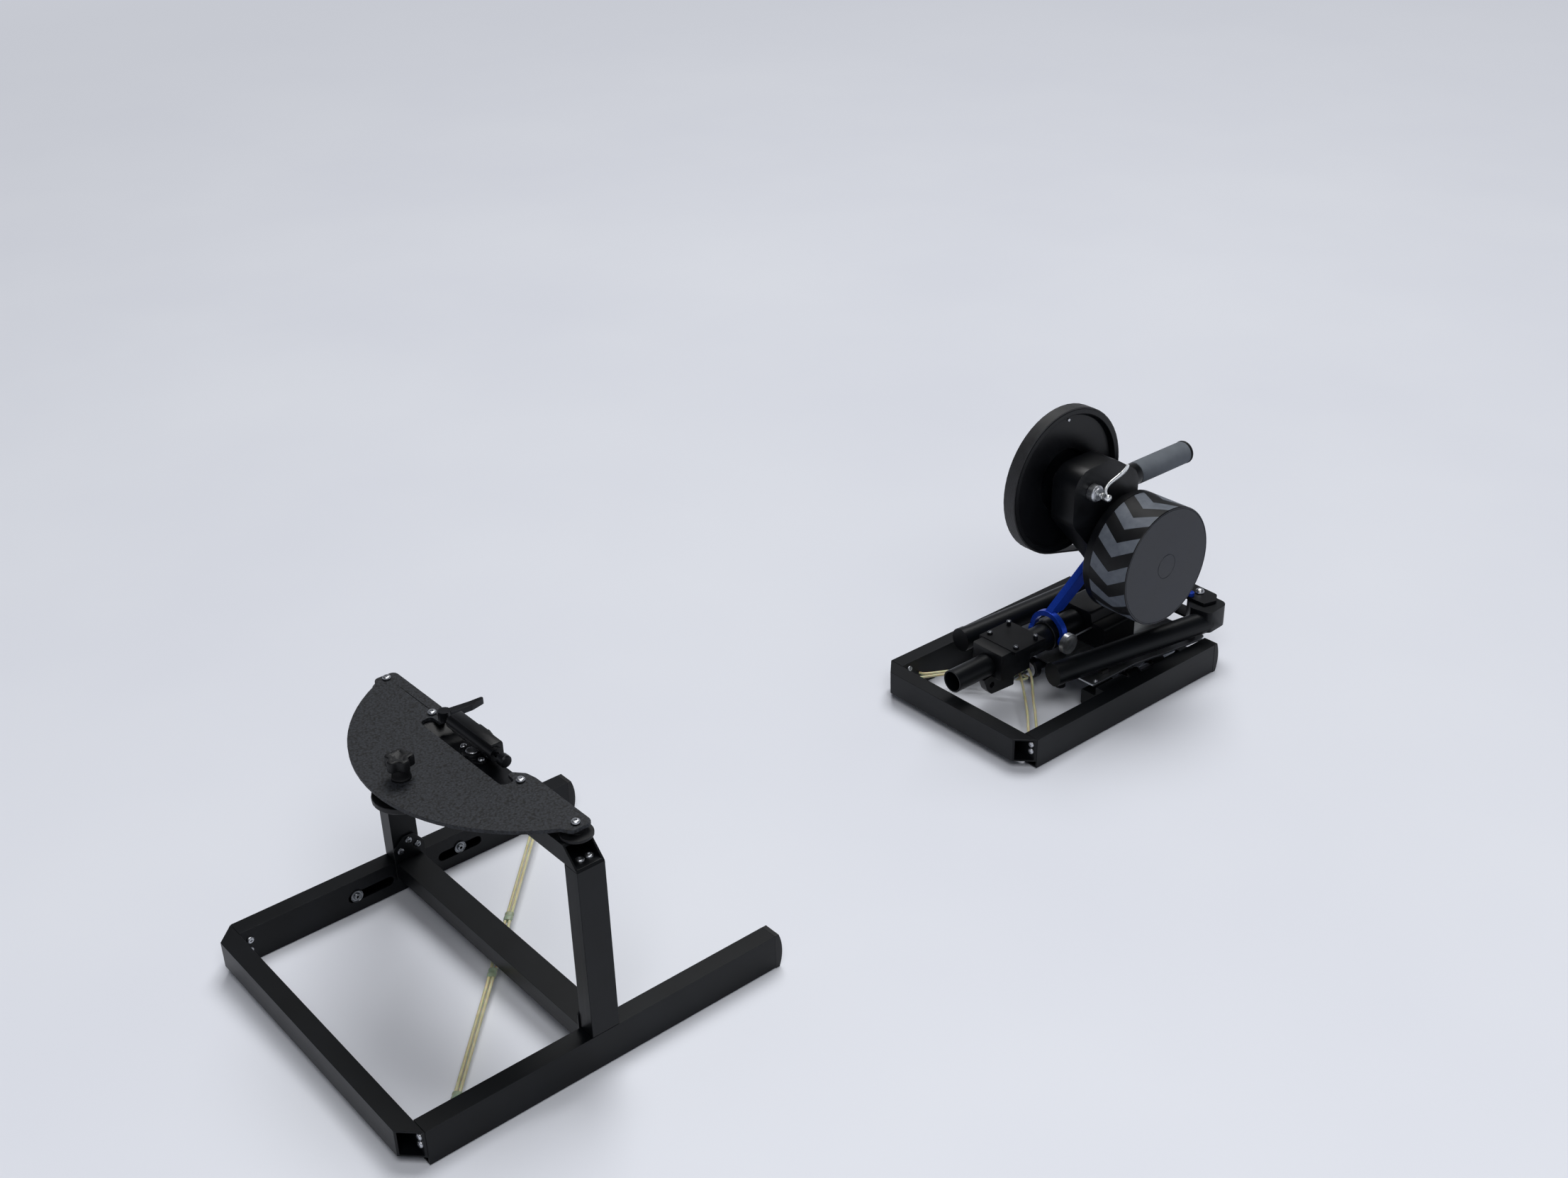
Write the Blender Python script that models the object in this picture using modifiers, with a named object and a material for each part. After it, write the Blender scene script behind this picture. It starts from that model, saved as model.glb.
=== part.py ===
"""Motion trainer for a bicycle: a fork stand in front and a floating trainer platform behind.

The front station is a welded-looking frame of rectangular tube. It carries a steering plate
with a fork mount that can yaw and roll. The rear station is a low frame in which a carriage
slides fore and aft. A polished tray tilts on the carriage and carries a direct-drive trainer
head with a belt-driven flywheel and two folding legs.

Sizes are in millimetres and become metres when a mesh is made. Left is +X and the rider
looks along -Y. Each station has its own empty, at the front end of its side rails.
"""
import math

import bmesh
import bpy
from mathutils import Matrix, Vector

MM = 0.001
GAP = 0.3            # seat gap between touching pieces
WALL = 2.5           # wall of the rectangular tubes
RAIL_W = 25.4        # width of the side rails
RAIL_H = 50.8        # top of the side rails above the floor
FOOT_H = 1.5         # thickness of the foot strips

# Front station
FRONT_HALF = 243.1   # half width over the side rails
FRONT_LEN = 503.3
CROSS_BOTTOM = 12.7  # underside of both front cross rails
POST_Y0 = 226.0      # the uprights and the beam share this depth
POST_Y1 = 264.1
BEAM_Z0 = 289.0
BEAM_Z1 = 314.4
PIVOT_Y = 245.0      # steering axis
PLATE_Z0 = 325.0
PLATE_Z1 = 330.0
PLATE_ARC_Y = 355.0  # centre of the plate's front arc
PLATE_ARC_R = 243.0
KNOB_Y = 150.0
POST_X = 211.7       # outer screws of the plate
SCREW_X = 99.5       # inner screws of the plate
SCREW_Y = 249.8
AXLE_Y = 250.0       # fork axle
AXLE_Z = 342.0
ROLL_Z = 336.0       # pin on which the fork cradle rolls

# Rear station
REAR_HALF = 156.0
REAR_LEN = 408.0
ROD_X = 95.0
ROD_Z = 20.0
TILT_X = -6.0
TILT_Z = 38.0
TRAY_Z0 = 48.0
TRAY_Z1 = 51.2
SPINE_X = -9.0
SPINE_Z = 82.0
LEG_Z = 75.0
LEG_R = 18.0
BOLT_X = 90.0        # leg bolts
BOLT_Y = 446.0
HINGE = (440.0, 122.0)      # head hinge, Y and Z
HUB = (215.0, 345.0)
WHEEL = (290.0, 227.0)      # flywheel axis
YOKE_PIN = (300.0, 180.0)   # upper yoke pin on the head
COLLAR_Y = 201.0
HANDLE = (24.0, 325.0)      # X and Z of the handle
HANDLE_END = 464.0
WHEEL_R = 94.8
BELT_R = 116.4
PINION_R = 21.5
BELT_T = 2.7
CORD_R = 2.1
STRAND = 2.8                # from the middle of the front loop to each strand
CORD_PEG = 0.46             # the mid rail's cord peg, as a share of the loop's length

STATION_STEP = 1075.8       # from one station's rail ends to the other's
TOTAL = RAIL_W + STATION_STEP + HANDLE_END
FRONT_Y = RAIL_W - TOTAL / 2
REAR_Y = FRONT_Y + STATION_STEP

for old in list(bpy.data.objects):
    bpy.data.objects.remove(old, do_unlink=True)

PARTS = bpy.data.collections.new("motion_trainer")
bpy.context.scene.collection.children.link(PARTS)


def material(name, colour, roughness, metallic):
    """One Principled material with the piece's own colour."""
    mat = bpy.data.materials.new(name)
    mat.use_nodes = True
    shader = mat.node_tree.nodes["Principled BSDF"]
    shader.inputs["Base Color"].default_value = (*colour, 1.0)
    shader.inputs["Roughness"].default_value = roughness
    shader.inputs["Metallic"].default_value = metallic
    return mat


LOOKS = {
    "black_metal": ((0.012, 0.013, 0.016), 0.42, 0.6),
    "plate_black": ((0.022, 0.023, 0.027), 0.75, 0.0),
    "black_plastic": ((0.010, 0.010, 0.012), 0.5, 0.0),
    "black_rubber": ((0.014, 0.014, 0.015), 0.8, 0.0),
    "steel": ((0.55, 0.56, 0.58), 0.3, 1.0),
    "polished": ((0.80, 0.81, 0.83), 0.12, 1.0),
    "blue_metal": ((0.01, 0.04, 0.40), 0.35, 0.7),
    "grip_grey": ((0.11, 0.115, 0.125), 0.7, 0.0),
    "wheel_grey": ((0.045, 0.048, 0.056), 0.55, 0.2),
    "latex": ((0.62, 0.57, 0.36), 0.45, 0.0),
    "belt_black": ((0.015, 0.015, 0.016), 0.65, 0.0),
}


def station(name, y):
    """The empty that carries one station's pieces."""
    empty = bpy.data.objects.new(name, None)
    empty.location = (0.0, y * MM, 0.0)
    PARTS.objects.link(empty)
    return empty


FRONT = station("front_station", FRONT_Y)
REAR = station("rear_station", REAR_Y)


def add_mesh(mesh):
    """A new object from a finished mesh."""
    obj = bpy.data.objects.new("work", mesh)
    PARTS.objects.link(obj)
    return obj


def from_bmesh(bm):
    """A new object from a bmesh, its faces turned outward."""
    bmesh.ops.recalc_face_normals(bm, faces=bm.faces)
    mesh = bpy.data.meshes.new("work")
    bm.to_mesh(mesh)
    bm.free()
    return add_mesh(mesh)


def baked(obj, merge=1e-6):
    """The object's evaluated shape as a plain mesh object, welded and in world space."""
    graph = bpy.context.evaluated_depsgraph_get()
    mesh = bpy.data.meshes.new_from_object(obj.evaluated_get(graph), depsgraph=graph)
    mesh.transform(obj.matrix_world)
    bpy.data.objects.remove(obj, do_unlink=True)
    bm = bmesh.new()
    bm.from_mesh(mesh)
    bpy.data.meshes.remove(mesh)
    bmesh.ops.remove_doubles(bm, verts=bm.verts, dist=merge)
    return from_bmesh(bm)


def box(x0, x1, y0, y1, z0, z1):
    """A block between two corners."""
    bm = bmesh.new()
    bmesh.ops.create_cube(bm, size=1.0)
    size = Vector((x1 - x0, y1 - y0, z1 - z0)) * MM
    middle = Vector((x0 + x1, y0 + y1, z0 + z1)) * MM / 2
    bmesh.ops.scale(bm, vec=size, verts=bm.verts)
    bmesh.ops.translate(bm, vec=middle, verts=bm.verts)
    return from_bmesh(bm)


def along(start, end):
    """The matrix that stands local Z on the way from start to end."""
    way = Vector(end) - Vector(start)
    return Matrix.Translation(Vector(start) * MM) @ way.to_track_quat("Z", "Y").to_matrix().to_4x4()


def cylinder(start, end, radius, sides=24):
    """A round bar between two points."""
    length = (Vector(end) - Vector(start)).length * MM
    bm = bmesh.new()
    bmesh.ops.create_cone(bm, cap_ends=True, segments=sides, radius1=radius * MM,
                          radius2=radius * MM, depth=length)
    bmesh.ops.translate(bm, vec=(0.0, 0.0, length / 2), verts=bm.verts)
    bmesh.ops.transform(bm, matrix=along(start, end), verts=bm.verts)
    return from_bmesh(bm)


def turned(profile, start, axis, sides=24, ring=False):
    """A turned piece: profile points are (distance along the axis, radius)."""
    mesh = bpy.data.meshes.new("profile")
    points = [(radius * MM, 0.0, step * MM) for step, radius in reversed(profile)]
    edges = [(i, i + 1) for i in range(len(points) - 1)]
    if ring:
        edges.append((len(points) - 1, 0))
    mesh.from_pydata(points, edges, [])
    obj = add_mesh(mesh)
    screw = obj.modifiers.new("turn", "SCREW")
    screw.steps = sides
    screw.render_steps = sides
    screw.use_merge_vertices = True
    screw.merge_threshold = 0.00001
    end = Vector(start) + Vector(axis)
    obj.matrix_world = along(start, end)
    bpy.context.view_layer.update()
    return baked(obj)


def rounded(corners, steps=4):
    """An outline whose corners (x, y, radius) are replaced by arcs."""
    outline = []
    count = len(corners)
    for i, (x, y, radius) in enumerate(corners):
        here = Vector((x, y))
        before = Vector(corners[i - 1][:2]) - here
        after = Vector(corners[(i + 1) % count][:2]) - here
        half = before.angle(after) / 2
        if radius == 0 or abs(half - math.pi / 2) < 0.01:
            outline.append(tuple(here))
            continue
        reach = radius / math.tan(half)
        reach = min(reach, before.length * 0.49, after.length * 0.49)
        size = reach * math.tan(half)
        middle = here + (before.normalized() + after.normalized()).normalized() * (size / math.sin(half))
        first = here + before.normalized() * reach - middle
        last = here + after.normalized() * reach - middle
        sweep = first.angle_signed(last)
        for k in range(steps + 1):
            turn = Matrix.Rotation(-sweep * k / steps, 2)
            outline.append(tuple(middle + turn @ first))
    return outline


def arc(cx, cy, radius, start, end, steps):
    """Points on an arc, angles in degrees."""
    points = []
    for k in range(steps + 1):
        angle = math.radians(start + (end - start) * k / steps)
        points.append((cx + radius * math.cos(angle), cy + radius * math.sin(angle)))
    return points


PLANES = {
    "xy": Matrix.Identity(4),
    "yz": Matrix(((0, 0, 1, 0), (1, 0, 0, 0), (0, 1, 0, 0), (0, 0, 0, 1))),
    "xz": Matrix(((1, 0, 0, 0), (0, 0, -1, 0), (0, 1, 0, 0), (0, 0, 0, 1))),
}


def extruded(outline, plane, low, high, holes=()):
    """A flat outline with thickness, from low to high along the plane's normal."""
    curve = bpy.data.curves.new("outline", "CURVE")
    curve.dimensions = "2D"
    curve.fill_mode = "BOTH"
    curve.extrude = (high - low) * MM / 2
    for loop in (outline, *holes):
        spline = curve.splines.new("POLY")
        spline.points.add(len(loop) - 1)
        for point, (u, v) in zip(spline.points, loop):
            point.co = (u * MM, v * MM, 0.0, 1.0)
        spline.use_cyclic_u = True
    obj = bpy.data.objects.new("outline", curve)
    PARTS.objects.link(obj)
    middle = (low + high) * MM / 2
    offset = -middle if plane == "xz" else middle
    obj.matrix_world = PLANES[plane] @ Matrix.Translation((0.0, 0.0, offset))
    bpy.context.view_layer.update()
    return baked(obj)


def swept(points, radius, resolution=2):
    """A round cord or bar along a route."""
    curve = bpy.data.curves.new("route", "CURVE")
    curve.dimensions = "3D"
    curve.bevel_depth = radius * MM
    curve.bevel_resolution = resolution
    curve.use_fill_caps = True
    spline = curve.splines.new("POLY")
    spline.points.add(len(points) - 1)
    for point, place in zip(spline.points, points):
        point.co = (*(Vector(place) * MM), 1.0)
    obj = bpy.data.objects.new("route", curve)
    PARTS.objects.link(obj)
    bpy.context.view_layer.update()
    return baked(obj)


def smooth_route(knots, step):
    """Points about one step apart on a smooth curve through the knots."""
    places = [Vector(knot) for knot in knots]
    points = [places[0]]
    for i in range(len(places) - 1):
        a = places[max(i - 1, 0)]
        b = places[i]
        c = places[i + 1]
        d = places[min(i + 2, len(places) - 1)]
        count = max(2, round((c - b).length / step))
        for k in range(1, count + 1):
            t = k / count
            bend = (a * -1 + b * 3 - c * 3 + d) * t ** 3 + (a * 2 - b * 5 + c * 4 - d) * t ** 2
            points.append((bend + (c - a) * t + b * 2) / 2)
    return points


def boolean(target, tool, operation):
    """Cut the tool from the target, or join it on."""
    modifier = target.modifiers.new("boolean", "BOOLEAN")
    modifier.operation = operation
    modifier.object = tool
    bpy.context.view_layer.update()
    result = baked(target)
    bpy.data.objects.remove(tool, do_unlink=True)
    return result


def joined(first, *others):
    """Several overlapping solids as one."""
    for other in others:
        first = boolean(first, other, "UNION")
    return first


def cut(first, *tools):
    """A solid with each tool taken out of it."""
    for tool in tools:
        first = boolean(first, tool, "DIFFERENCE")
    return first


def rounded_edges(obj, chosen, width, segments=2):
    """Bevel the edges whose two ends both pass the test."""
    bm = bmesh.new()
    bm.from_mesh(obj.data)
    edges = [e for e in bm.edges if all(chosen(v.co / MM) for v in e.verts)]
    bmesh.ops.bevel(bm, geom=edges, offset=width * MM, segments=segments, profile=0.5,
                    affect="EDGES", clamp_overlap=True)
    bmesh.ops.recalc_face_normals(bm, faces=bm.faces)
    bm.to_mesh(obj.data)
    bm.free()
    return obj


def piece(name, obj, look, parent, origin=(0.0, 0.0, 0.0)):
    """Name a finished solid, give it its material and put its origin where it turns."""
    obj.name = name
    obj.data.name = name
    colour, roughness, metallic = LOOKS[look]
    obj.data.materials.clear()
    obj.data.materials.append(material(name + "_look", colour, roughness, metallic))
    obj.data.transform(Matrix.Translation(-Vector(origin) * MM))
    obj.data.shade_smooth()
    obj.data.set_sharp_from_angle(angle=math.radians(35))
    obj.parent = parent
    obj.location = Vector(origin) * MM
    return obj


def tube(x0, x1, y0, y1, z0, z1, way):
    """A rectangular tube, open at both ends along the given axis."""
    inner = {"x": [x0 - 9, x1 + 9], "y": [y0 - 9, y1 + 9], "z": [z0 - 9, z1 + 9]}
    for axis, (low, high) in {"x": (x0, x1), "y": (y0, y1), "z": (z0, z1)}.items():
        if axis != way:
            inner[axis] = [low + WALL, high - WALL]
    return cut(box(x0, x1, y0, y1, z0, z1), box(*inner["x"], *inner["y"], *inner["z"]))


def stadium(u0, u1, v, half, steps=6):
    """A slot with round ends."""
    right = arc(u1 - half, v, half, -90, 90, steps)
    left = arc(u0 + half, v, half, 90, 270, steps)
    return right + left


def side_rail(name, side, half, length, parent, slots=()):
    """A side rail with its front foot strip and its slots in the inner wall."""
    x0, x1 = sorted((side * half, side * (half - RAIL_W)))
    rail = tube(x0, x1, GAP, length, FOOT_H, RAIL_H, "y")
    rail = joined(rail, box(x0 + 3, x1 - 3, 6, 46, 0.0, FOOT_H + 1))
    inner = side * (half - RAIL_W)
    for start, end in slots:
        slot = extruded(stadium(start, end, 25.0, 7.0), "yz", inner - 4, inner + 4)
        rail = cut(rail, slot)
    return piece(name, rail, "black_metal", parent)


def rail_cap(name, side, half, length, parent):
    """A domed plug cap with the rear foot under the rail."""
    x0, x1 = sorted((side * half, side * (half - RAIL_W)))
    cap = box(x0, x1, length + GAP, length + 8.3, 0.0, RAIL_H)
    cap = rounded_edges(cap, lambda v: v.y > length + 8, 5.0, 3)
    inset = WALL + GAP + 0.1
    plug = box(x0 + inset, x1 - inset, length - 12, length + 2, FOOT_H + inset, RAIL_H - inset)
    foot = box(x0 + 3, x1 - 3, length - 40, length + 2, 0.0, FOOT_H - GAP)
    return piece(name, joined(cap, plug, foot), "black_plastic", parent)


def mitred_cross_rail(name, half, parent):
    """The front cross rail: its open ends are mitred in plan."""
    short = half - RAIL_W
    outline = [(-half, 0.0), (-short, -RAIL_W), (short, -RAIL_W), (half, 0.0)]
    rail = extruded(outline, "xy", CROSS_BOTTOM, RAIL_H)
    hollow = box(-half - 9, half + 9, WALL - RAIL_W, -WALL, CROSS_BOTTOM + WALL, RAIL_H - WALL)
    return piece(name, cut(rail, hollow), "black_metal", parent)


def front_frame():
    """Everything of the front station that stands still."""
    slots = ((152.0, 220.0), (289.0, 357.0))
    for word, side in (("left", 1), ("right", -1)):
        side_rail("front_rail_" + word, side, FRONT_HALF, FRONT_LEN, FRONT, slots)
        rail_cap("front_rail_cap_" + word, side, FRONT_HALF, FRONT_LEN, FRONT)
    mitred_cross_rail("front_cross_rail", FRONT_HALF, FRONT)
    inner = FRONT_HALF - RAIL_W
    gusset_x = (inner - GAP - 3.0, inner - GAP)
    mid_half = gusset_x[0] - GAP
    mid = tube(-mid_half, mid_half, POST_Y0, POST_Y1, RAIL_W, RAIL_H, "x")
    start, end = cord_ends()
    spot = start.lerp(end, CORD_PEG)
    peg = cylinder((spot.x, spot.y, 12), (spot.x, spot.y, RAIL_W + 1), 3.3, 16)
    piece("front_mid_rail", joined(mid, peg), "black_metal", FRONT)
    corners = [(224, 20, 3), (266, 20, 3), (270, 34, 4), (270, 68, 4), (256, 86, 4), (240, 86, 4),
               (224, 70, 4)]
    for word, side in (("left", 1), ("right", -1)):
        low, high = sorted((side * gusset_x[0], side * gusset_x[1]))
        piece("gusset_" + word, extruded(rounded(corners, 3), "yz", low, high), "black_metal", FRONT)
        low, high = sorted((side * inner, side * FRONT_HALF))
        post = tube(low, high, POST_Y0, POST_Y1, RAIL_H + GAP, BEAM_Z0 - GAP, "z")
        piece("upright_" + word, post, "black_metal", FRONT)
    outline = [(-FRONT_HALF, BEAM_Z0), (FRONT_HALF, BEAM_Z0), (inner, BEAM_Z1), (-inner, BEAM_Z1)]
    beam = extruded(outline, "xz", POST_Y0, POST_Y1)
    hollow = box(-260, 260, POST_Y0 + WALL, POST_Y1 - WALL, BEAM_Z0 + WALL, BEAM_Z1 - WALL)
    hole = cylinder((0, PIVOT_Y, BEAM_Z1 - 6), (0, PIVOT_Y, BEAM_Z1 + 6), 8.4)
    piece("top_beam", cut(beam, hollow, hole), "black_metal", FRONT)
    wall = BEAM_Z1 - WALL - GAP
    profile = [(wall - 6, 0), (wall - 6, 13), (wall, 13), (wall, 8), (326.4, 8), (327.4, 7), (327.4, 0)]
    bolt = turned(profile, (0, PIVOT_Y, 0), (0, 0, 1), 24)
    piece("pivot_bolt", bolt, "steel", FRONT)
    lock_arm()
    front_cord()


def lock_arm():
    """A flat arm from the beam to the knob, with an arc slot round the steering axis."""
    reach = PIVOT_Y - KNOB_Y
    plan = [(-32, POST_Y0 - GAP, 0), (-30, 160, 20), (-16, 122, 16), (16, 122, 16), (30, 160, 20),
            (32, POST_Y0 - GAP, 0)]
    swing = 9.2
    half = 4.7
    outer = arc(0, PIVOT_Y, reach + half, -90 - swing, -90 + swing, 8)
    inner = arc(0, PIVOT_Y, reach - half, -90 + swing, -90 - swing, 8)
    arm = extruded(rounded(plan), "xy", 297.0, 303.0, [outer + inner])
    tab = box(-32, 32, POST_Y0 - GAP - 4, POST_Y0 - GAP, BEAM_Z0 + 1, 303.0)
    piece("lock_arm", joined(arm, tab), "black_metal", FRONT)


def cord_ends():
    """Where the front latex loop starts by the right rail and turns by the left one."""
    inner = FRONT_HALF - RAIL_W - GAP
    return Vector((12.0 - inner, 440.0, 22.0)), Vector((inner - STRAND - CORD_R, 42.6, 10.0))


def front_cord():
    """One latex loop from the right rail to the left rail, parted by the peg under the mid rail."""
    inner = FRONT_HALF - RAIL_W - GAP
    rear, front = cord_ends()
    way = (front - rear).normalized()
    across = Vector((way.y, -way.x, 0.0)).normalized() * STRAND
    parting = ((0.38, 1.0), (0.42, 1.9), (CORD_PEG, 2.15), (0.5, 1.8), (0.53, 1.0))
    there = [rear.lerp(front, share) + across * spread for share, spread in parting]
    back = [rear.lerp(front, share) - across * spread for share, spread in reversed(parting)]
    turn = [front + across * math.cos(a) + way * STRAND * math.sin(a)
            for a in (math.radians(30 * k) for k in range(7))]
    low_end = Vector((1.5 - inner, 436.0, 22.0))
    high_end = Vector((1.5 - inner, 446.0, 22.0))
    cord = swept([low_end, rear + across] + there + turn + back + [rear - across, high_end], CORD_R)
    for share in (0.36, 0.55, 0.92):
        middle = rear.lerp(front, share)
        cord = joined(cord, cylinder(middle - way * 5, middle + way * 5, 5.4, 8))
    piece("front_latex_cord", cord, "latex", FRONT)


def plate_outline():
    """Half of the steering plate from the arc's end to the notch, then mirrored."""
    rear = 267.0
    right = [(222, 238, 8), (222, rear, 8), (106, rear, 10), (90, 264, 8), (77, 253, 3), (77, 246, 2.5),
             (94, 245, 5), (94, 228, 8)]
    left = [(-x, y, r) for x, y, r in reversed(right)]
    start = math.degrees(math.atan2(231 - PLATE_ARC_Y, -209))
    end = math.degrees(math.atan2(231 - PLATE_ARC_Y, 209))
    front = [(x, y, 0) for x, y in arc(0, PLATE_ARC_Y, PLATE_ARC_R, start, end, 28)]
    return rounded(front + right + left, 3)


def steering_group():
    """The plate that yaws, what hangs under it and the lock knob."""
    axis = (0, PIVOT_Y, PLATE_Z0)
    holes = [arc(0, KNOB_Y, 4.7, 0, 330, 11)]
    for side in (1, -1):
        holes.append(arc(side * POST_X, SCREW_Y, 4.4, 0, 330, 11))
        holes.append(arc(side * SCREW_X, SCREW_Y, 3.4, 0, 330, 11))
    plate = extruded(plate_outline(), "xy", PLATE_Z0, PLATE_Z1, holes)
    piece("steer_plate", plate, "plate_black", FRONT, axis)
    floor = BEAM_Z1 + GAP
    top = PLATE_Z0 - GAP
    half_top = [(68, floor + 3), (88, top), (112, top), (112, top - 3), (89, top - 3), (69, floor)]
    outline = half_top + [(-x, z) for x, z in reversed(half_top)]
    channel = extruded(outline, "xz", 232.0, 262.0)
    lug = extruded(rounded([(-22, floor, 0), (22, floor, 0), (18, 348, 8), (-18, 348, 8)]), "xz", 262.4, 267.4)
    channel = joined(channel, box(-22, 22, 258, 267.4, floor, floor + 3), lug)
    for side in (1, -1):
        stud = [(top - 2, 0), (top - 2, 3), (PLATE_Z1 + GAP, 3), (PLATE_Z1 + GAP, 5.3), (331.5, 5.3),
                (331.5, 0)]
        channel = joined(channel, turned(stud, (side * SCREW_X, SCREW_Y, 0), (0, 0, 1), 16))
    bore = cylinder((0, PIVOT_Y, 300), (0, PIVOT_Y, 322), 8.3)
    pin_bore = cylinder((0, 255, ROLL_Z), (0, 275, ROLL_Z), 5.3)
    piece("steer_channel", cut(channel, bore, pin_bore), "black_metal", FRONT, axis)
    low = floor + 3 + GAP
    diamond = [(-29, PIVOT_Y, 5), (-10, PIVOT_Y - 14, 8), (10, PIVOT_Y - 14, 8), (29, PIVOT_Y, 5),
               (10, PIVOT_Y + 14, 8), (-10, PIVOT_Y + 14, 8)]
    flange = extruded(rounded(diamond, 3), "xy", low, low + 3)
    flange = joined(flange, cylinder((0, PIVOT_Y, low + 1), (0, PIVOT_Y, 326.0), 12.5))
    for side in (1, -1):
        spot = (side * 20, PIVOT_Y, low + 2)
        flange = joined(flange, cylinder(spot, (side * 20, PIVOT_Y, low + 5), 4.2, 12))
    flange = cut(flange, cylinder((0, PIVOT_Y, 310), (0, PIVOT_Y, 330), 8.3))
    piece("pivot_flange", flange, "black_metal", FRONT, axis)
    for word, side in (("left", 1), ("right", -1)):
        profile = [(floor, 0), (floor, 20), (floor + 4, 20), (floor + 4, 7.5), (top, 7.5), (top, 4),
                   (PLATE_Z1 + GAP, 4), (PLATE_Z1 + GAP, 5.3), (331.5, 5.3), (331.5, 0)]
        post = turned(profile, (side * POST_X, SCREW_Y, 0), (0, 0, 1), 24)
        piece("plate_post_" + word, post, "black_plastic", FRONT, axis)
    profile = [(303.3, 4.7), (303.3, 36), (305, 38), (311, 38), (312, 37), (312, 15), (top, 15), (top, 4.7)]
    puck = turned(profile, (0, KNOB_Y, 0), (0, 0, 1), 28, ring=True)
    piece("lock_puck", puck, "black_plastic", FRONT, axis)
    star_knob()


def star_knob():
    """Five-lobe knob on a column, with its stud and the stud's head under the arm."""
    lobes = []
    for k in range(40):
        angle = 2 * math.pi * k / 40
        radius = 17.6 + 3.4 * math.cos(5 * angle)
        lobes.append((radius * math.cos(angle), KNOB_Y + radius * math.sin(angle)))
    head = extruded(lobes, "xy", 343.0, 358.0)
    column = [(289.0, 0), (289.0, 8), (296.7, 8), (296.7, 4), (PLATE_Z1 + GAP, 4), (PLATE_Z1 + GAP, 15),
              (334, 15), (338, 12), (345, 12), (345, 0)]
    knob = joined(head, turned(column, (0, KNOB_Y, 0), (0, 0, 1), 24))
    piece("star_knob", knob, "black_plastic", FRONT, (0, KNOB_Y, PLATE_Z1))


def fork_mount():
    """The cradle that rolls behind the plate's window, and its skewer."""
    axis = (0, AXLE_Y, ROLL_Z)
    bar = rounded_edges(box(-46, 46, 246, 262, 331, 355), lambda v: v.z > 354, 3.0, 2)
    axle = cylinder((-50, AXLE_Y, AXLE_Z), (50, AXLE_Y, AXLE_Z), 9.0)
    pin = cylinder((0, 256, ROLL_Z), (0, 269, ROLL_Z), 5.0, 16)
    cap = cylinder((0, 267.7, ROLL_Z), (0, 271.5, ROLL_Z), 8.0, 16)
    bore = cylinder((-60, AXLE_Y, AXLE_Z), (60, AXLE_Y, AXLE_Z), 3.2, 12)
    piece("fork_cradle", cut(joined(bar, axle, pin, cap), bore), "black_metal", FRONT, axis)
    rod = cylinder((-59.7, AXLE_Y, AXLE_Z), (62, AXLE_Y, AXLE_Z), 2.5, 12)
    nut = turned([(59, 0), (59, 6.5), (61, 8), (70, 8), (72, 6), (72, 0)], (0, AXLE_Y, AXLE_Z), (1, 0, 0), 20)
    piece("fork_skewer", joined(rod, nut), "black_metal", FRONT, axis)
    pivot = (-68, AXLE_Y, AXLE_Z)
    cam = cylinder((-68, AXLE_Y, AXLE_Z - 7), (-68, AXLE_Y, AXLE_Z + 7), 8.0, 16)
    blade = [(-75, 250, 3), (-62, 250, 3), (-60, 285, 6), (-64, 304, 4), (-69, 304, 4), (-70, 285, 6)]
    lever = joined(cam, extruded(rounded(blade, 3), "xy", AXLE_Z - 4, AXLE_Z + 4))
    piece("fork_lever", lever, "black_metal", FRONT, pivot)


def rear_frame():
    """Everything of the rear station that stands still."""
    inner = REAR_HALF - RAIL_W
    for word, side in (("left", 1), ("right", -1)):
        side_rail("rear_rail_" + word, side, REAR_HALF, REAR_LEN, REAR)
        rail_cap("rear_rail_cap_" + word, side, REAR_HALF, REAR_LEN, REAR)
        outline = [(84, 8, 3), (inner - GAP, 8, 0), (inner - GAP, 49, 0), (112.5, 49, 2), (112.5, 34, 3),
                   (84, 34, 3)]
        guide = extruded([(side * x, z) for x, z in rounded(outline, 3)], "xz", 176.0, 235.0)
        piece("guide_block_" + word, guide, "black_metal", REAR)
        rod = cylinder((side * ROD_X, 235 + GAP, ROD_Z), (side * ROD_X, 385 - GAP, ROD_Z), 6.0, 16)
        piece("guide_rod_" + word, rod, "steel", REAR)
    mitred_cross_rail("rear_cross_front", REAR_HALF, REAR)
    back = tube(-inner + GAP, inner - GAP, 385, 405, 8, 27, "x")
    piece("rear_cross_back", back, "black_metal", REAR)
    rear_cord("left", 1)
    rear_cord("right", -1)


def rear_cord(word, side):
    """A latex loop from the rail to the tilt shaft: the left one over it, the right one under."""
    wall = REAR_HALF - RAIL_W - 1.5
    over = 8.4 * side
    turn_x = TILT_X - 10 * side
    knots = [(side * (wall - 6), 20, 25), (TILT_X + side * 70, 76, 31), (TILT_X, 130, TILT_Z + over),
             (turn_x, 135, TILT_Z + over * 0.7), (turn_x, 141, TILT_Z + over * 0.7),
             (TILT_X, 146, TILT_Z + over), (TILT_X + side * 70, 92, 31), (side * (wall - 6), 38, 25)]
    route = [(side * wall, 18, 25), *smooth_route(knots, 12), (side * wall, 36, 25)]
    piece("rear_latex_cord_" + word, swept(route, CORD_R), "latex", REAR)


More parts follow.
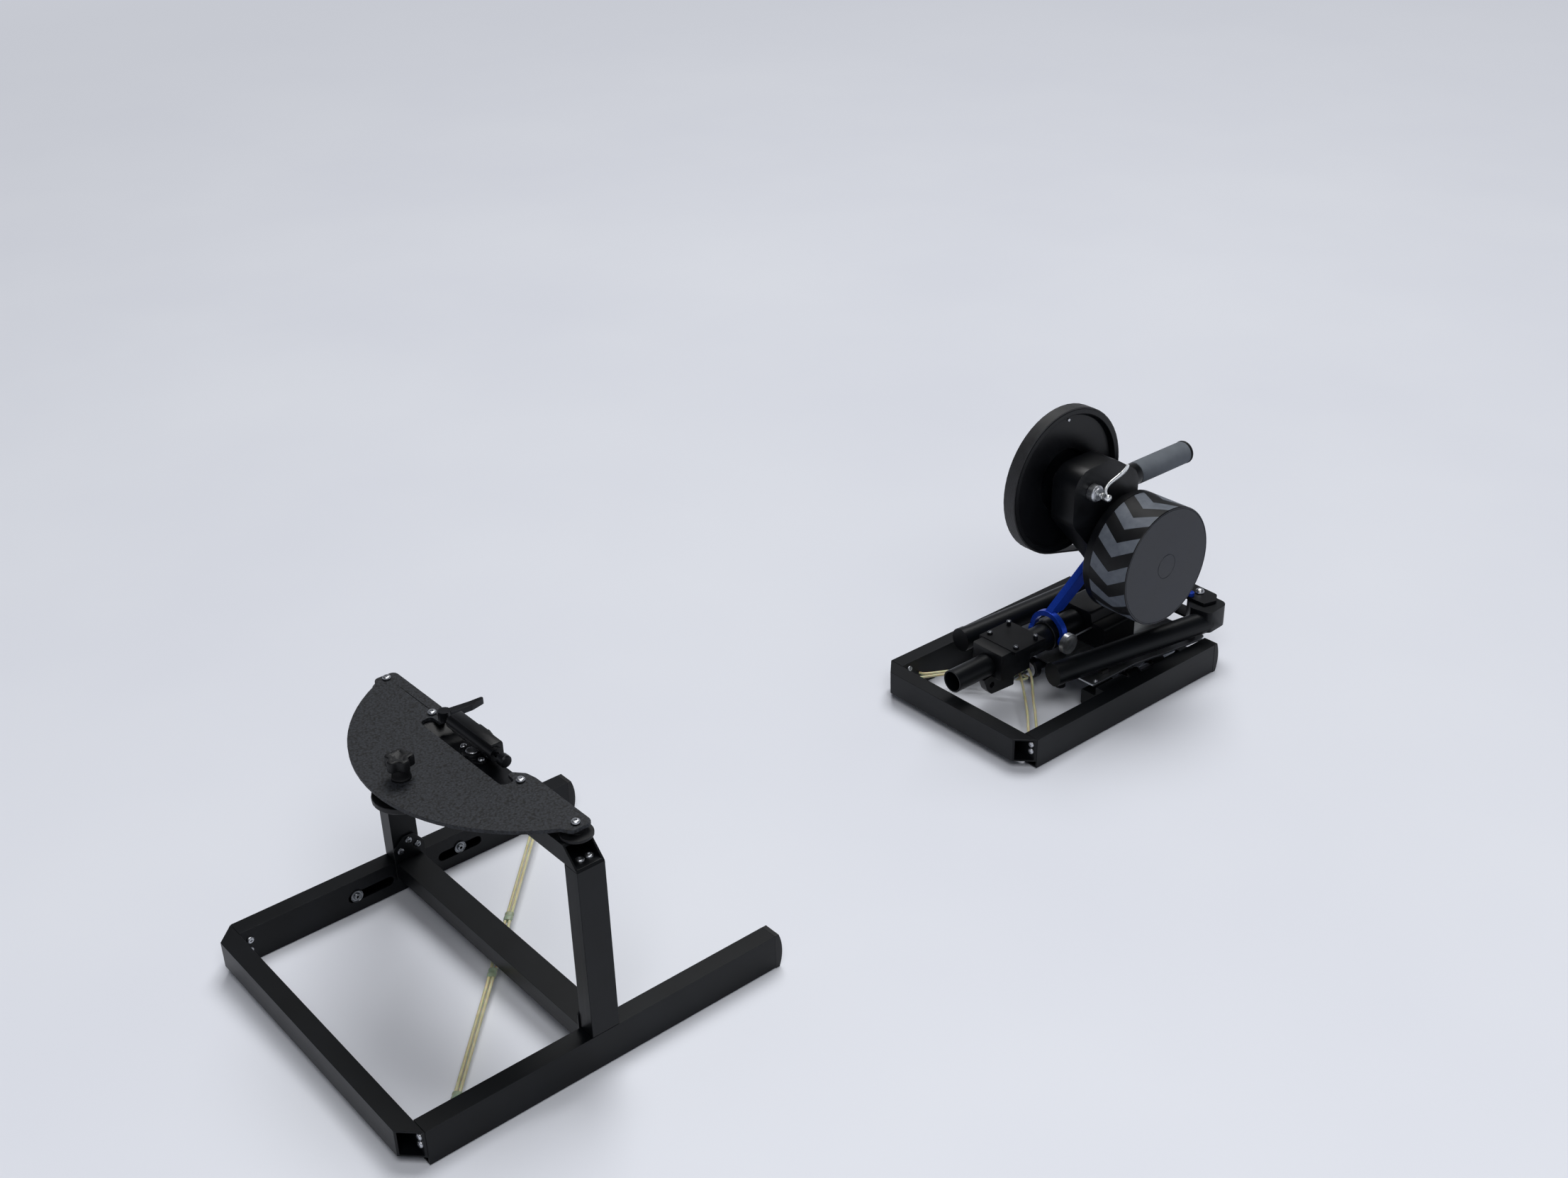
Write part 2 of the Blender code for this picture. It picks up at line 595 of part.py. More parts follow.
def carriage():
    """Four bushes on the guide rods, two cross bars and the bearing tube of the tilt shaft."""
    profile = [(155, 0), (155, 14.5), (157, 16.5), (166, 16.5), (166, 9.4), (362, 9.4), (362, 0)]
    body = turned(profile, (TILT_X, 0, TILT_Z), (0, 1, 0), 24)
    for y in (272, 330):
        body = joined(body, box(-ROD_X, ROD_X, y, y + 18, 18, 31))
        for side in (1, -1):
            start = (side * ROD_X, y - 4, ROD_Z)
            body = joined(body, cylinder(start, (side * ROD_X, y + 22, ROD_Z), 10.5, 20))
    for side in (1, -1):
        start = (side * ROD_X, 250, ROD_Z)
        body = cut(body, cylinder(start, (side * ROD_X, 370, ROD_Z), 6.35, 20))
    body = cut(body, cylinder((TILT_X, 150, TILT_Z), (TILT_X, 370, TILT_Z), 5.9, 20))
    piece("carriage", body, "black_metal", REAR, (0, 310, ROD_Z))


def tilting_group():
    """Tray, tilt shaft, spine and the blocks that hold them."""
    axis = (TILT_X, 300, TILT_Z)
    side_edge = [(109, 175.5, 4), (109, 274, 20), (120, 335, 60), (128.5, 403, 20), (128.5, 420, 8)]
    outline = side_edge + [(-x, y, r) for x, y, r in reversed(side_edge)]
    piece("tray", extruded(rounded(outline, 3), "xy", TRAY_Z0, TRAY_Z1), "polished", REAR, axis)
    shaft = cylinder((TILT_X, 116.3, TILT_Z), (TILT_X, 374, TILT_Z), 5.5, 20)
    hanger = box(TILT_X - 18, TILT_X + 18, 366, 372, TILT_Z - 8.5, TRAY_Z0 - GAP)
    piece("tilt_shaft", joined(shaft, hanger), "steel", REAR, axis)
    profile = [(-12, 15.5), (-12, 18), (125.3, 18), (125.3, 21), (449.5, 21), (449.5, 15.5)]
    spine = turned(profile, (SPINE_X, 0, SPINE_Z), (0, 1, 0), 24, ring=True)
    piece("spine_tube", spine, "black_metal", REAR, axis)
    low = TRAY_Z1 + GAP
    section = [(-44, low, 0), (52, low, 0), (52, 92, 5), (26, 92, 3), (22, 109, 6), (-40, 109, 6), (-44, 80, 4)]
    saddle = extruded(rounded(section, 3), "xz", 262, 335)
    tool = cylinder((SPINE_X, 250, SPINE_Z), (SPINE_X, 345, SPINE_Z), 21.35, 28)
    piece("spine_saddle", cut(saddle, tool), "black_metal", REAR, axis)
    clamp_block(axis)
    rear_bracket(axis)


def clamp_block(axis):
    """The clamp round the front of the spine, with the flange that takes the tilt shaft."""
    block = rounded_edges(box(-40, 22, 62, 125, 64, 109), lambda v: v.y < 63, 3.0, 2)
    plate = box(-47, 29, 84, 150, 104.5, 110)
    side = [(49, 62, 2), (57, 41, 8), (66, 31, 6), (115.7, 28, 2), (115.7, 66, 0), (63, 66, 0), (63, 63.4, 0)]
    flange = extruded(rounded(side, 3), "yz", -14, -1)
    body = joined(block, plate, flange)
    for x, y, radius, height in ((-38, 98, 4.5, 113), (20, 95, 4.5, 113), (-38, 140, 3.5, 116), (20, 138, 3.5, 116)):
        body = joined(body, cylinder((x, y, 108), (x, y, height), radius, 12))
    tool = cylinder((SPINE_X, 50, SPINE_Z), (SPINE_X, 126, SPINE_Z), 18.35, 28)
    hole = cylinder((-30, 67, 47), (20, 67, 47), 5.0, 16)
    piece("clamp_block", cut(body, tool, hole), "black_metal", REAR, axis)


def rear_bracket(axis):
    """Two plates with the leg bolts between them, the spine socket and the head's hinge ears."""
    half = [(119, 421, 4), (125, 444, 8), (113, 461, 8), (66, 463, 6)]
    outline = half + [(-x, y, r) for x, y, r in reversed(half)]
    body = extruded(rounded(outline, 3), "xy", 100, 105)
    web = box(-50, 40, 434, 462, 58, 101)
    foot = extruded(rounded([(104, 433, 10), (104, 460, 10), (-104, 460, 10), (-104, 433, 10)]), "xy", 58, 62)
    body = joined(body, web, foot)
    for side in (1, -1):
        bolt = [(60, 0), (60, 5), (104, 5), (104, 7), (106.2, 7), (106.2, 0)]
        body = joined(body, turned(bolt, (side * BOLT_X, BOLT_Y, 0), (0, 0, 1), 16))
    y, z = HINGE
    for low, high in ((-0.3, 5.7), (50.3, 56.3)):
        ear = rounded([(y - 13, 101, 0), (y + 13, 101, 0), (y + 13, z + 13, 12), (y - 13, z + 13, 12)], 5)
        body = joined(body, extruded(ear, "yz", low, high))
    body = joined(body, cylinder((-3, y, z), (59, y, z), 5.0, 16))
    socket = cylinder((SPINE_X, 410, SPINE_Z), (SPINE_X, 450, SPINE_Z), 21.35, 28)
    piece("rear_bracket", cut(body, socket), "black_metal", REAR, axis)


def leg(name, side, front, rear, fitting, feet):
    """A folding leg: tube, front cap, flat fitting round the bolt, and two feet."""
    start = Vector((*front, LEG_Z))
    end = Vector((*rear, LEG_Z))
    way = (end - start).normalized()
    body = cylinder(start + way * 4, end, LEG_R, 28)
    cap = cylinder(start, start + way * 12, LEG_R + 0.9, 28)
    body = joined(body, cap, extruded(rounded(fitting, 4), "xy", 64, 99.5))
    for x, y, radius in feet:
        body = joined(body, cylinder((x, y, TRAY_Z1 + 0.5), (x, y, 66), radius, 16))
    body = cut(body, cylinder((side * BOLT_X, BOLT_Y, 60), (side * BOLT_X, BOLT_Y, 104), 5.4, 16))
    piece(name, body, "black_metal", REAR, (side * BOLT_X, BOLT_Y, LEG_Z))


def legs():
    """Both legs, folded forward beside the spine as in the photograph."""
    fitting = [(74, 436, 12), (84, 424, 10), (106, 404, 8), (141, 410, 8), (138, 458, 14), (76, 461, 12)]
    leg("leg_left", 1, (72, 122), (124, 424), fitting, ((76, 136, 8), (115, 402, 6)))
    fitting = [(-106, 461, 12), (-106, 430, 10), (-99, 385, 8), (-59, 385, 8), (-66, 436, 10), (-74, 461, 12)]
    leg("leg_right", -1, (-98, 95), (-80, 398), fitting, ((-96, 110, 8), (-81, 388, 6)))


def head_group():
    """The head casting with handle, axles, belt drive and flywheel."""
    axis = (0, *HINGE)
    corners = [(176, 300, 30), (176, 384, 34), (262, 384, 26), (314, 350, 20), (322, 334, 10), (322, 300, 14),
               (316, 268, 20), (346, 214, 30), (456, 137, 13), (456, 109, 13), (429, 109, 10), (318, 166, 12),
               (286, 166, 12), (250, 212, 24)]
    body = extruded(rounded(corners, 5), "yz", 6, 50)
    body = rounded_edges(body, lambda v: v.x > 49 and v.z > 240, 4.0, 3)
    x, z = HANDLE
    boss = [(290, 0), (290, 17.9), (340, 17.9), (344, 16.9), (344, 0)]
    body = joined(body, turned(boss, (x, 0, z), (0, 1, 0), 28))
    y, z = YOKE_PIN
    body = joined(body, cylinder((-19, y, z), (8, y, z), 4.0, 16))
    pocket = [(342, 204, 6), (338, 184, 6), (408, 141, 6), (422, 146, 6)]
    body = cut(body, extruded(rounded(pocket, 3), "yz", 18, 60))
    for (y, z), radius in ((HUB, 8.85), (WHEEL, 12.4), (HINGE, 5.4)):
        body = cut(body, cylinder((-5, y, z), (60, y, z), radius, 24))
    piece("head_casting", body, "black_metal", REAR, axis)
    x, z = HANDLE
    profile = [(344.3, 0), (344.3, 15.5), (346, 16.5), (456, 16.5), (456.5, 17.6), (461, 17.6), (464, 15), (464, 0)]
    piece("handle_grip", turned(profile, (x, 0, z), (0, 1, 0), 28), "grip_grey", REAR, axis)
    profile = [(-65, 3), (-65, 10), (-62.4, 10), (-62.4, 8.5), (50.3, 8.5), (50.3, 13), (61, 13), (63, 10), (65, 10), (65, 3)]
    piece("hub_axle", turned(profile, (0, *HUB), (1, 0, 0), 24, ring=True), "steel", REAR, axis)
    rod = cylinder((-76, *HUB), (73, *HUB), 2.5, 12)
    nut = turned([(-84, 0), (-84, 6), (-82, 8), (-74, 9), (-72, 9), (-72, 0)], (0, *HUB), (1, 0, 0), 20)
    seat = cylinder((70.5, *HUB), (73.6, *HUB), 5.4, 20)
    piece("hub_skewer", joined(rod, nut, seat), "polished", REAR, axis)
    hub_lever()
    drive()


def hub_lever():
    """The cam lever on the near side, closed against the head."""
    centre = Vector((80.0, *HUB))
    pin = Vector((0.0, 1.0, -1.0)).normalized()
    barrel = cylinder(centre - pin * 7, centre + pin * 7, 3.2, 16)
    cam = [(-5.4, 0), (-5.4, 2.8), (-3.4, 5), (3.4, 5), (5.4, 2.8), (5.4, 0)]
    cam = turned(cam, tuple(centre), (1, 0, 0), 20)
    bends = [(0, 0, 0), (-4, -2, 11), (-5, 5, 17), (-4, 17, 22), (-3, 34.5, 28), (-2, 40, 33), (-1, 44, 39)]
    blade = swept(smooth_route([centre + Vector(bend) for bend in bends], 5), 2.9)
    barrel = joined(cam, barrel)
    piece("hub_lever", joined(barrel, blade), "polished", REAR, tuple(centre))


def belt_loop(big, small):
    """The outline of a belt round the drive pulley and the pinion."""
    way = Vector(WHEEL) - Vector(HUB)
    heading = math.degrees(math.atan2(way.y, way.x))
    spread = math.degrees(math.acos((big - small) / way.length))
    far = arc(*HUB, big, heading + spread, heading + 360 - spread, 40)
    near = arc(*WHEEL, small, heading - spread, heading + spread, 12)
    return far + near


def drive():
    """Drive pulley, belt, pinion, flywheel and cassette."""
    belt = extruded(belt_loop(BELT_R, PINION_R), "yz", -19.4, 1.4, [belt_loop(BELT_R - BELT_T, PINION_R - BELT_T)])
    piece("drive_belt", belt, "belt_black", REAR, (0, *HINGE))
    seat = BELT_R - BELT_T - GAP
    profile = [(-20, 9.1), (-20, 48), (-16, 52), (-16, 104), (-20, 106), (-20, seat), (2, seat), (2, 106),
               (-6, 103), (-6, 50), (-14, 46), (-14, 15), (4.5, 13), (4.5, 9.1)]
    wheel = turned(profile, (0, *HUB), (1, 0, 0), 44, ring=True)
    piece("drive_pulley", wheel, "black_metal", REAR, (0, *HUB))
    core = PINION_R - BELT_T - GAP
    profile = [(-21.5, 8.4), (-21.5, 20.8), (-20, 20.8), (-20, core), (2, core), (2, 20.8), (3.5, 20.8), (3.5, 8.4)]
    pinion = turned(profile, (0, *WHEEL), (1, 0, 0), 28, ring=True)
    piece("drive_pinion", pinion, "steel", REAR, (0, *WHEEL))
    profile = [(-24, 0), (-24, 8), (3.9, 8), (3.9, 12), (50.6, 12), (50.6, 24), (128, 24), (128, 80), (58, 84),
               (57, WHEEL_R - 1), (58, WHEEL_R), (139, WHEEL_R), (140, WHEEL_R - 1), (140, 0)]
    flywheel = turned(profile, (0, *WHEEL), (1, 0, 0), 44)
    piece("flywheel", flywheel, "wheel_grey", REAR, (0, *WHEEL))
    profile = [(-62, 9.1)]
    count = 9
    for k in range(count):
        step = 4.1
        start = -61.5 + step * k
        tip = 23.0 + 36.0 * (k / (count - 1)) ** 1.15
        profile += [(start, 17), (start, tip), (start + 1.8, tip), (start + 1.8, 17)]
    profile += [(-23, 17), (-23, 9.1)]
    cassette = turned(profile, (0, *HUB), (1, 0, 0), 22, ring=True)
    piece("cassette", cassette, "steel", REAR, (0, *HUB))


def height_group():
    """Collar, yoke and knob that set the head's height."""
    pivot = (SPINE_X, COLLAR_Y, SPINE_Z)
    profile = [(190, 21.35), (190, 23.5), (191, 24.5), (211, 24.5), (212, 23.5), (212, 21.35)]
    collar = turned(profile, (SPINE_X, 0, SPINE_Z), (0, 1, 0), 28, ring=True)
    for side in (1, -1):
        start = (SPINE_X + side * 22.5, COLLAR_Y, SPINE_Z)
        collar = joined(collar, cylinder(start, (SPINE_X + side * 35.5, COLLAR_Y, SPINE_Z), 5.0, 20))
    stud_bore = cylinder((SPINE_X + 23, COLLAR_Y, SPINE_Z), (SPINE_X + 40, COLLAR_Y, SPINE_Z), 3.35, 16)
    piece("height_collar", cut(collar, stud_bore), "black_metal", REAR, pivot)
    outer = [(SPINE_X + u, v) for u, v in arc(0, 88, 35, 0, 180, 14)]
    inner = [(SPINE_X + u, v) for u, v in arc(0, 88, 27, 180, 0, 12)]
    arch = outer + [(SPINE_X - 35, 80), (SPINE_X - 27, 80)] + inner + [(SPINE_X + 27, 80), (SPINE_X + 35, 80)]
    yoke = extruded(arch, "xz", COLLAR_Y - 5, COLLAR_Y + 5)
    y, z = YOKE_PIN
    web = [(COLLAR_Y - 4, 117, 0), (COLLAR_Y - 3, 124, 3), (y - 8, z + 9, 0), (y + 8, z - 9, 0), (COLLAR_Y + 25, 118, 6)]
    yoke = joined(yoke, extruded(rounded(web, 3), "yz", -15, -3), cylinder((-15, y, z), (-3, y, z), 10.5, 24))
    for side in (1, -1):
        start = (SPINE_X + side * 27, COLLAR_Y, SPINE_Z)
        yoke = joined(yoke, cylinder(start, (SPINE_X + side * 35, COLLAR_Y, SPINE_Z), 9.5, 24))
    yoke = cut(yoke, cylinder((-60, COLLAR_Y, SPINE_Z), (60, COLLAR_Y, SPINE_Z), 5.35, 20))
    yoke = cut(yoke, cylinder((-20, y, z), (0, y, z), 6.4, 20))
    piece("height_yoke", yoke, "blue_metal", REAR, pivot)
    profile = [(15.5, 0), (15.5, 3), (27, 3), (27, 13.5), (28, 14.5), (35, 14.5), (36, 13.5), (36, 0)]
    knob = turned(profile, (0, COLLAR_Y, SPINE_Z), (1, 0, 0), 28)
    piece("height_knob", knob, "polished", REAR, pivot)


front_frame()
steering_group()
fork_mount()
rear_frame()
carriage()
tilting_group()
legs()
head_group()
height_group()
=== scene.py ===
# %% [markdown]
# # A motion trainer in two stations, dressed for a product picture
#
# The front station carries a fork mount on a steering plate. The rear one is a sliding, tilting platform
# with a belt drive and a flywheel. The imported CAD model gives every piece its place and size. This script
# adds what CAD leaves out: finishes, rounded edges, screws, teeth and cords.

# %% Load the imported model
import bmesh
import bpy
import math
from mathutils import Matrix, Vector


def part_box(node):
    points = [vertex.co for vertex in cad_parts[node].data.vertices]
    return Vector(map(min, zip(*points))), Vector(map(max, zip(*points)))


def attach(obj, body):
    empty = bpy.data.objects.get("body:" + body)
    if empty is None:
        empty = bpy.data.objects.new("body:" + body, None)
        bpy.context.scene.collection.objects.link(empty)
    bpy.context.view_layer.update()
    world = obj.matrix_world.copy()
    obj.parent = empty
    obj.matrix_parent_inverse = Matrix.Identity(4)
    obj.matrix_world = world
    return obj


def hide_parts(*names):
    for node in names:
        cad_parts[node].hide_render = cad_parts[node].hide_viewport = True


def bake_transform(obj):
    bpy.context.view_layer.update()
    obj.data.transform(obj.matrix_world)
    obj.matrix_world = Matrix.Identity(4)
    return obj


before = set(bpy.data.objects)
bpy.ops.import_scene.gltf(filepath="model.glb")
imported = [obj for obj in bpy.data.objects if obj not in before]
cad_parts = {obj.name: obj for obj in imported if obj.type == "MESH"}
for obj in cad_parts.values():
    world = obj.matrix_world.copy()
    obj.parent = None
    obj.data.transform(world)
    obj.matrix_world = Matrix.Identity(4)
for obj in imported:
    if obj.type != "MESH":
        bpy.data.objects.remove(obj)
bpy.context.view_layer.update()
print("CAD nodes:", len(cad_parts))

# %% [markdown]
# ## Measures
#
# The trainer's sizes are written in millimetres, counted from the front of each station. Blender works in
# metres. Two short functions turn such numbers into a place in the scene, so each piece below can be
# written with the numbers of its own station.

# %% Places on the two stations
MM = 0.001
SAME_PLACE = 0.01 * MM     # points closer than this are one point
RAIL_GAP = 0.3 * MM        # the side rails start this far behind the cross rail
FRONT_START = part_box("front_rail_left")[0].y - RAIL_GAP
REAR_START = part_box("rear_rail_left")[0].y - RAIL_GAP


def front(x, y, z):
    """A place on the front station, from millimetres."""
    return Vector((x * MM, FRONT_START + y * MM, z * MM))


def rear(x, y, z):
    """A place on the rear station, from millimetres."""
    return Vector((x * MM, REAR_START + y * MM, z * MM))


print("stations start at", round(FRONT_START, 4), round(REAR_START, 4))

# %% [markdown]
# ## Camera
#
# The picture was taken from the front left, about one and a half metres above the floor. The focal length
# and the place come from fitting the corners of both frames, so the camera is set by numbers and not by
# eye. The small roll is kept, because a level camera would turn the long rails against the picture.

# %% The camera at the photograph's angle
AZIMUTH = math.radians(50.6514)
ELEVATION = math.radians(28.2946)
ROLL = math.radians(-1.7246)
SENSOR_WIDTH = 36.0        # millimetres, as in a full-frame camera
FOCAL_LENGTH = 42.471
CAMERA_PLACE = Vector((1.678162, -1.398815, 1.533490))

back = Vector((math.sin(AZIMUTH) * math.cos(ELEVATION), -math.cos(AZIMUTH) * math.cos(ELEVATION),
               math.sin(ELEVATION)))
level = Vector((math.cos(AZIMUTH), math.sin(AZIMUTH), 0.0))
upright = level.cross(-back)
right = math.cos(ROLL) * level + math.sin(ROLL) * upright
above = math.cos(ROLL) * upright - math.sin(ROLL) * level
lens = bpy.data.cameras.new("photo_camera")
lens.lens = FOCAL_LENGTH
lens.sensor_width = SENSOR_WIDTH
lens.clip_end = 60.0
camera = bpy.data.objects.new("photo_camera", lens)
bpy.context.collection.objects.link(camera)
turn = Matrix((right, above, back)).transposed().to_4x4()
camera.matrix_world = Matrix.Translation(CAMERA_PLACE) @ turn
bpy.context.scene.camera = camera
print("camera at", tuple(round(v, 3) for v in camera.location))

# %% [markdown]
# ## Working as by hand
#
# The pieces are modelled with the same operators that the menus call. An operator acts on everything that
# is selected, and the CAD nodes are selected after loading. So each piece starts from an empty selection,
# and in edit mode the faces are picked by a test on their place or direction, never by clicking.

# %% Helpers for modelling
def rest():
    """Object mode, with nothing selected."""
    if bpy.context.object and bpy.context.object.mode == "EDIT":
        bpy.ops.object.mode_set(mode="OBJECT")
    bpy.ops.object.select_all(action="DESELECT")


def pick(obj):
    """Only this object selected and active."""
    rest()
    obj.select_set(True)
    bpy.context.view_layer.objects.active = obj


def named(name):
    """Names the piece that was just added and enters edit mode with nothing selected."""
    obj = bpy.context.object
    obj.name = name
    obj.data.name = name
    bpy.ops.object.mode_set(mode="EDIT")
    bpy.ops.mesh.select_mode(type="VERT")
    bpy.ops.mesh.select_all(action="DESELECT")
    return obj


def choose(kind, test):
    """Selects the points, edges or faces of the piece in edit mode for which the test is true."""
    bpy.ops.mesh.select_mode(type=kind)
    bpy.ops.mesh.select_all(action="DESELECT")
    shape = bmesh.from_edit_mesh(bpy.context.object.data)
    shape.normal_update()
    for part in {"VERT": shape.verts, "EDGE": shape.edges, "FACE": shape.faces}[kind]:
        part.select_set(bool(test(part)))
    shape.select_flush_mode()
    bmesh.update_edit_mesh(bpy.context.object.data)


def modified(obj, kind, **settings):
    """Adds a modifier with its settings and applies it."""
    pick(obj)
    added = obj.modifiers.new(kind.lower(), kind)
    for key, value in settings.items():
        setattr(added, key, value)
    bpy.ops.object.modifier_apply(modifier=added.name)


def rounded(obj, width, segments, angle=30.0):
    """Rounds the edges that are sharper than the angle, by a width in millimetres."""
    modified(obj, "BEVEL", width=width * MM, segments=segments, limit_method="ANGLE",
             angle_limit=math.radians(angle))


def settled(obj):
    """Puts the place, turn and scale of the object into its mesh, as in a CAD node."""
    pick(obj)
    bpy.ops.object.transform_apply(location=True, rotation=True, scale=True)


def block(middle, sizes):
    """A box with its sizes in millimetres round a place."""
    rest()
    bpy.ops.mesh.primitive_cube_add(size=1, location=middle, scale=[size * MM for size in sizes])
    obj = bpy.context.object
    settled(obj)
    return obj


def merged(name, pieces):
    """Joins finished pieces into one."""
    rest()
    for obj in pieces:
        obj.select_set(True)
    bpy.context.view_layer.objects.active = pieces[0]
    bpy.ops.object.join()
    pieces[0].name = name
    pieces[0].data.name = name
    return pieces[0]


def copied(master, name, place, direction, size=1.0, spin=0.0):
    """A copy with its own mesh: the master's up axis is laid along the direction."""
    obj = bpy.data.objects.new(name, master.data.copy())
    bpy.context.collection.objects.link(obj)
    turned = Vector((0, 0, 1)).rotation_difference(Vector(direction)).to_matrix().to_4x4()
    own_turn = Matrix.Rotation(spin, 4, "Z") @ Matrix.Scale(size, 4)
    obj.data.transform(Matrix.Translation(place) @ turned @ own_turn)
    return obj


def done(obj, finish, body, replaces=(), angle=30.0):
    """Shades a piece, gives it its finishes and lets it ride on its body, if it follows only one."""
    settled(obj)
    bpy.ops.object.shade_smooth_by_angle(angle=math.radians(angle))
    for each in finish if isinstance(finish, list) else [finish]:
        obj.data.materials.append(each)
    if body:
        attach(obj, body)
    if replaces:
        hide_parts(*replaces)
    print(obj.name, "on", body, "-", len(obj.data.polygons), "faces")


# %% [markdown]
# A turned piece is drawn as half of its section and spun round its axis, like work on a lathe. Spin needs
# an open line of edges. A plane merged to one point and extruded from point to point gives that line.

# %% A lathe helper
AXES = {"X": Vector((1, 0, 0)), "Y": Vector((0, 1, 0)), "Z": Vector((0, 0, 1))}


def lathe(name, profile, centre, axis, steps=96, zones=()):
    """Spins a profile of (step along the axis, radius) in millimetres round an axis through centre.

    Each zone is a test of step and radius. Its faces get the second, third and further finish in turn.
    """
    along = AXES[axis]
    outward = AXES["Z"] if axis != "Z" else AXES["X"]
    points = [centre + along * (step * MM) + outward * (radius * MM) for step, radius in profile]
    rest()
    bpy.ops.mesh.primitive_plane_add(size=MM, location=points[0])
    obj = named(name)
    bpy.ops.mesh.select_all(action="SELECT")
    bpy.ops.mesh.merge(type="CENTER")
    for before, after in zip(points, points[1:]):
        bpy.ops.mesh.extrude_region_move(TRANSFORM_OT_translate={"value": after - before})
    bpy.ops.mesh.select_all(action="SELECT")
    bpy.ops.mesh.spin(steps=steps, angle=2 * math.pi, center=centre, axis=along)
    bpy.ops.mesh.select_all(action="SELECT")
    bpy.ops.mesh.remove_doubles(threshold=SAME_PLACE)
    bpy.ops.mesh.normals_make_consistent(inside=False)
    for number, test in enumerate(zones, 1):
        shape = bmesh.from_edit_mesh(obj.data)
        for face in shape.faces:
            spot = (obj.matrix_world @ face.calc_center_median()) - centre
            step = spot.dot(along) / MM
            radius = (spot - along * spot.dot(along)).length / MM
            if test(step, radius):
                face.material_index = number
        bmesh.update_edit_mesh(obj.data)
    bpy.ops.object.mode_set(mode="OBJECT")
    return obj


print("helpers ready")

# %% [markdown]
# ## Finishes
#
# Each finish is a node tree that starts from what the real surface is and how it was made. Colours are
# written as the hex values that a picture editor shows, and one function turns them to the linear numbers
# that a shader needs. One more function adds a node with its settings and links, and short ones call it for
# the nodes that come again and again: noise, arithmetic, a range, a relief and a ramp.

# %% Helpers for finishes
def tone(code):
    """An sRGB hex colour as linear red, green, blue and full alpha."""
    channels = [int(code[k:k + 2], 16) / 255 for k in (1, 3, 5)]
    return [c / 12.92 if c <= 0.04045 else ((c + 0.055) / 1.055) ** 2.4 for c in channels] + [1.0]


def add(finish, kind, inputs=None, **settings):
    """Adds a node: settings are its properties, inputs its socket values or the outputs linked to them."""
    node = finish.node_tree.nodes.new(kind)
    for key, value in settings.items():
        setattr(node, key, value)
    for key, value in (inputs or {}).items():
        if isinstance(value, bpy.types.NodeSocket):
            finish.node_tree.links.new(value, node.inputs[key])
        else:
            node.inputs[key].default_value = value
    return node


def surface(name, **values):
    """A new finish with its shader's own values, and the piece's coordinates to draw patterns on."""
    finish = bpy.data.materials.new(name)
    finish.use_nodes = True
    shader = finish.node_tree.nodes["Principled BSDF"]
    for key, value in values.items():
        shader.inputs[key.replace("_", " ")].default_value = value
    place = add(finish, "ShaderNodeTexCoord").outputs["Object"]
    return finish, shader, place


def to_shader(finish, shader, **links):
    """Links outputs to the shader's sockets."""
    for key, output in links.items():
        finish.node_tree.links.new(output, shader.inputs[key.replace("_", " ")])


def noise(finish, place, scale, detail):
    """Soft noise, with its scale in waves per metre."""
    sockets = {"Vector": place, "Scale": scale, "Detail": detail}
    return add(finish, "ShaderNodeTexNoise", sockets).outputs["Fac"]


def maths(finish, operation, *values):
    """The result of one step of arithmetic."""
    return add(finish, "ShaderNodeMath", dict(enumerate(values)), operation=operation).outputs[0]


def between(finish, value, low, high):
    """A value from 0 to 1, brought into the range from low to high."""
    sockets = {"Value": value, "To Min": low, "To Max": high}
    return add(finish, "ShaderNodeMapRange", sockets).outputs["Result"]


def relief(finish, height, strength, depth, invert=False):
    """The normal of a surface that a height pattern raises by up to a depth in millimetres."""
    sockets = {"Strength": strength, "Distance": depth * MM, "Height": height}
    return add(finish, "ShaderNodeBump", sockets, invert=invert).outputs["Normal"]


def ramp(finish, value, low, high, dark, light):
    """A two-stop colour ramp between two hex colours."""
    node = add(finish, "ShaderNodeValToRGB", {"Fac": value})
    node.color_ramp.elements[0].position = low
    node.color_ramp.elements[1].position = high
    node.color_ramp.elements[0].color = tone(dark)
    node.color_ramp.elements[1].color = tone(light)
    return node.outputs["Color"]


print("white is", [round(v, 3) for v in tone("#ffffff")])

# %% [markdown]
# ### Black anodised aluminium
#
# The rails are extruded 1 x 2 inch aluminium tube, anodised satin black. The die leaves fine straight
# lines along the tube, which show as a soft streak in the sheen. So the noise is stretched along the tube,
# and each direction of tube has its own version.

# %% The rails' finish
def anodised(name, run):
    """Satin black anodising whose die lines run along X, Y or Z."""
    finish, shader, place = surface(name, Metallic=0.2, Roughness=0.4, IOR=1.34)
    across = 1 / (0.6 * MM)         # die lines about 0.6 mm apart, as coarse as they need to show
    stretch = 120
    scale = [across] * 3
    scale["XYZ".index(run)] = across / stretch
    stretched = add(finish, "ShaderNodeMapping", {"Vector": place, "Scale": scale}).outputs["Vector"]
    lines = noise(finish, stretched, 1.0, 2.0)
    cloud = noise(finish, place, 14.0, 4.0)
    tint = ramp(finish, cloud, 0.35, 0.7, "#06080b", "#0d1014")
    wear = between(finish, lines, 0.34, 0.47)
    grain = relief(finish, lines, 0.06, 0.2)
    to_shader(finish, shader, Base_Color=tint, Roughness=wear, Normal=grain)
    return finish


ANODISED = {run: anodised("black_anodised_aluminium_" + run.lower(), run) for run in "XYZ"}
print("anodised finishes:", len(ANODISED))
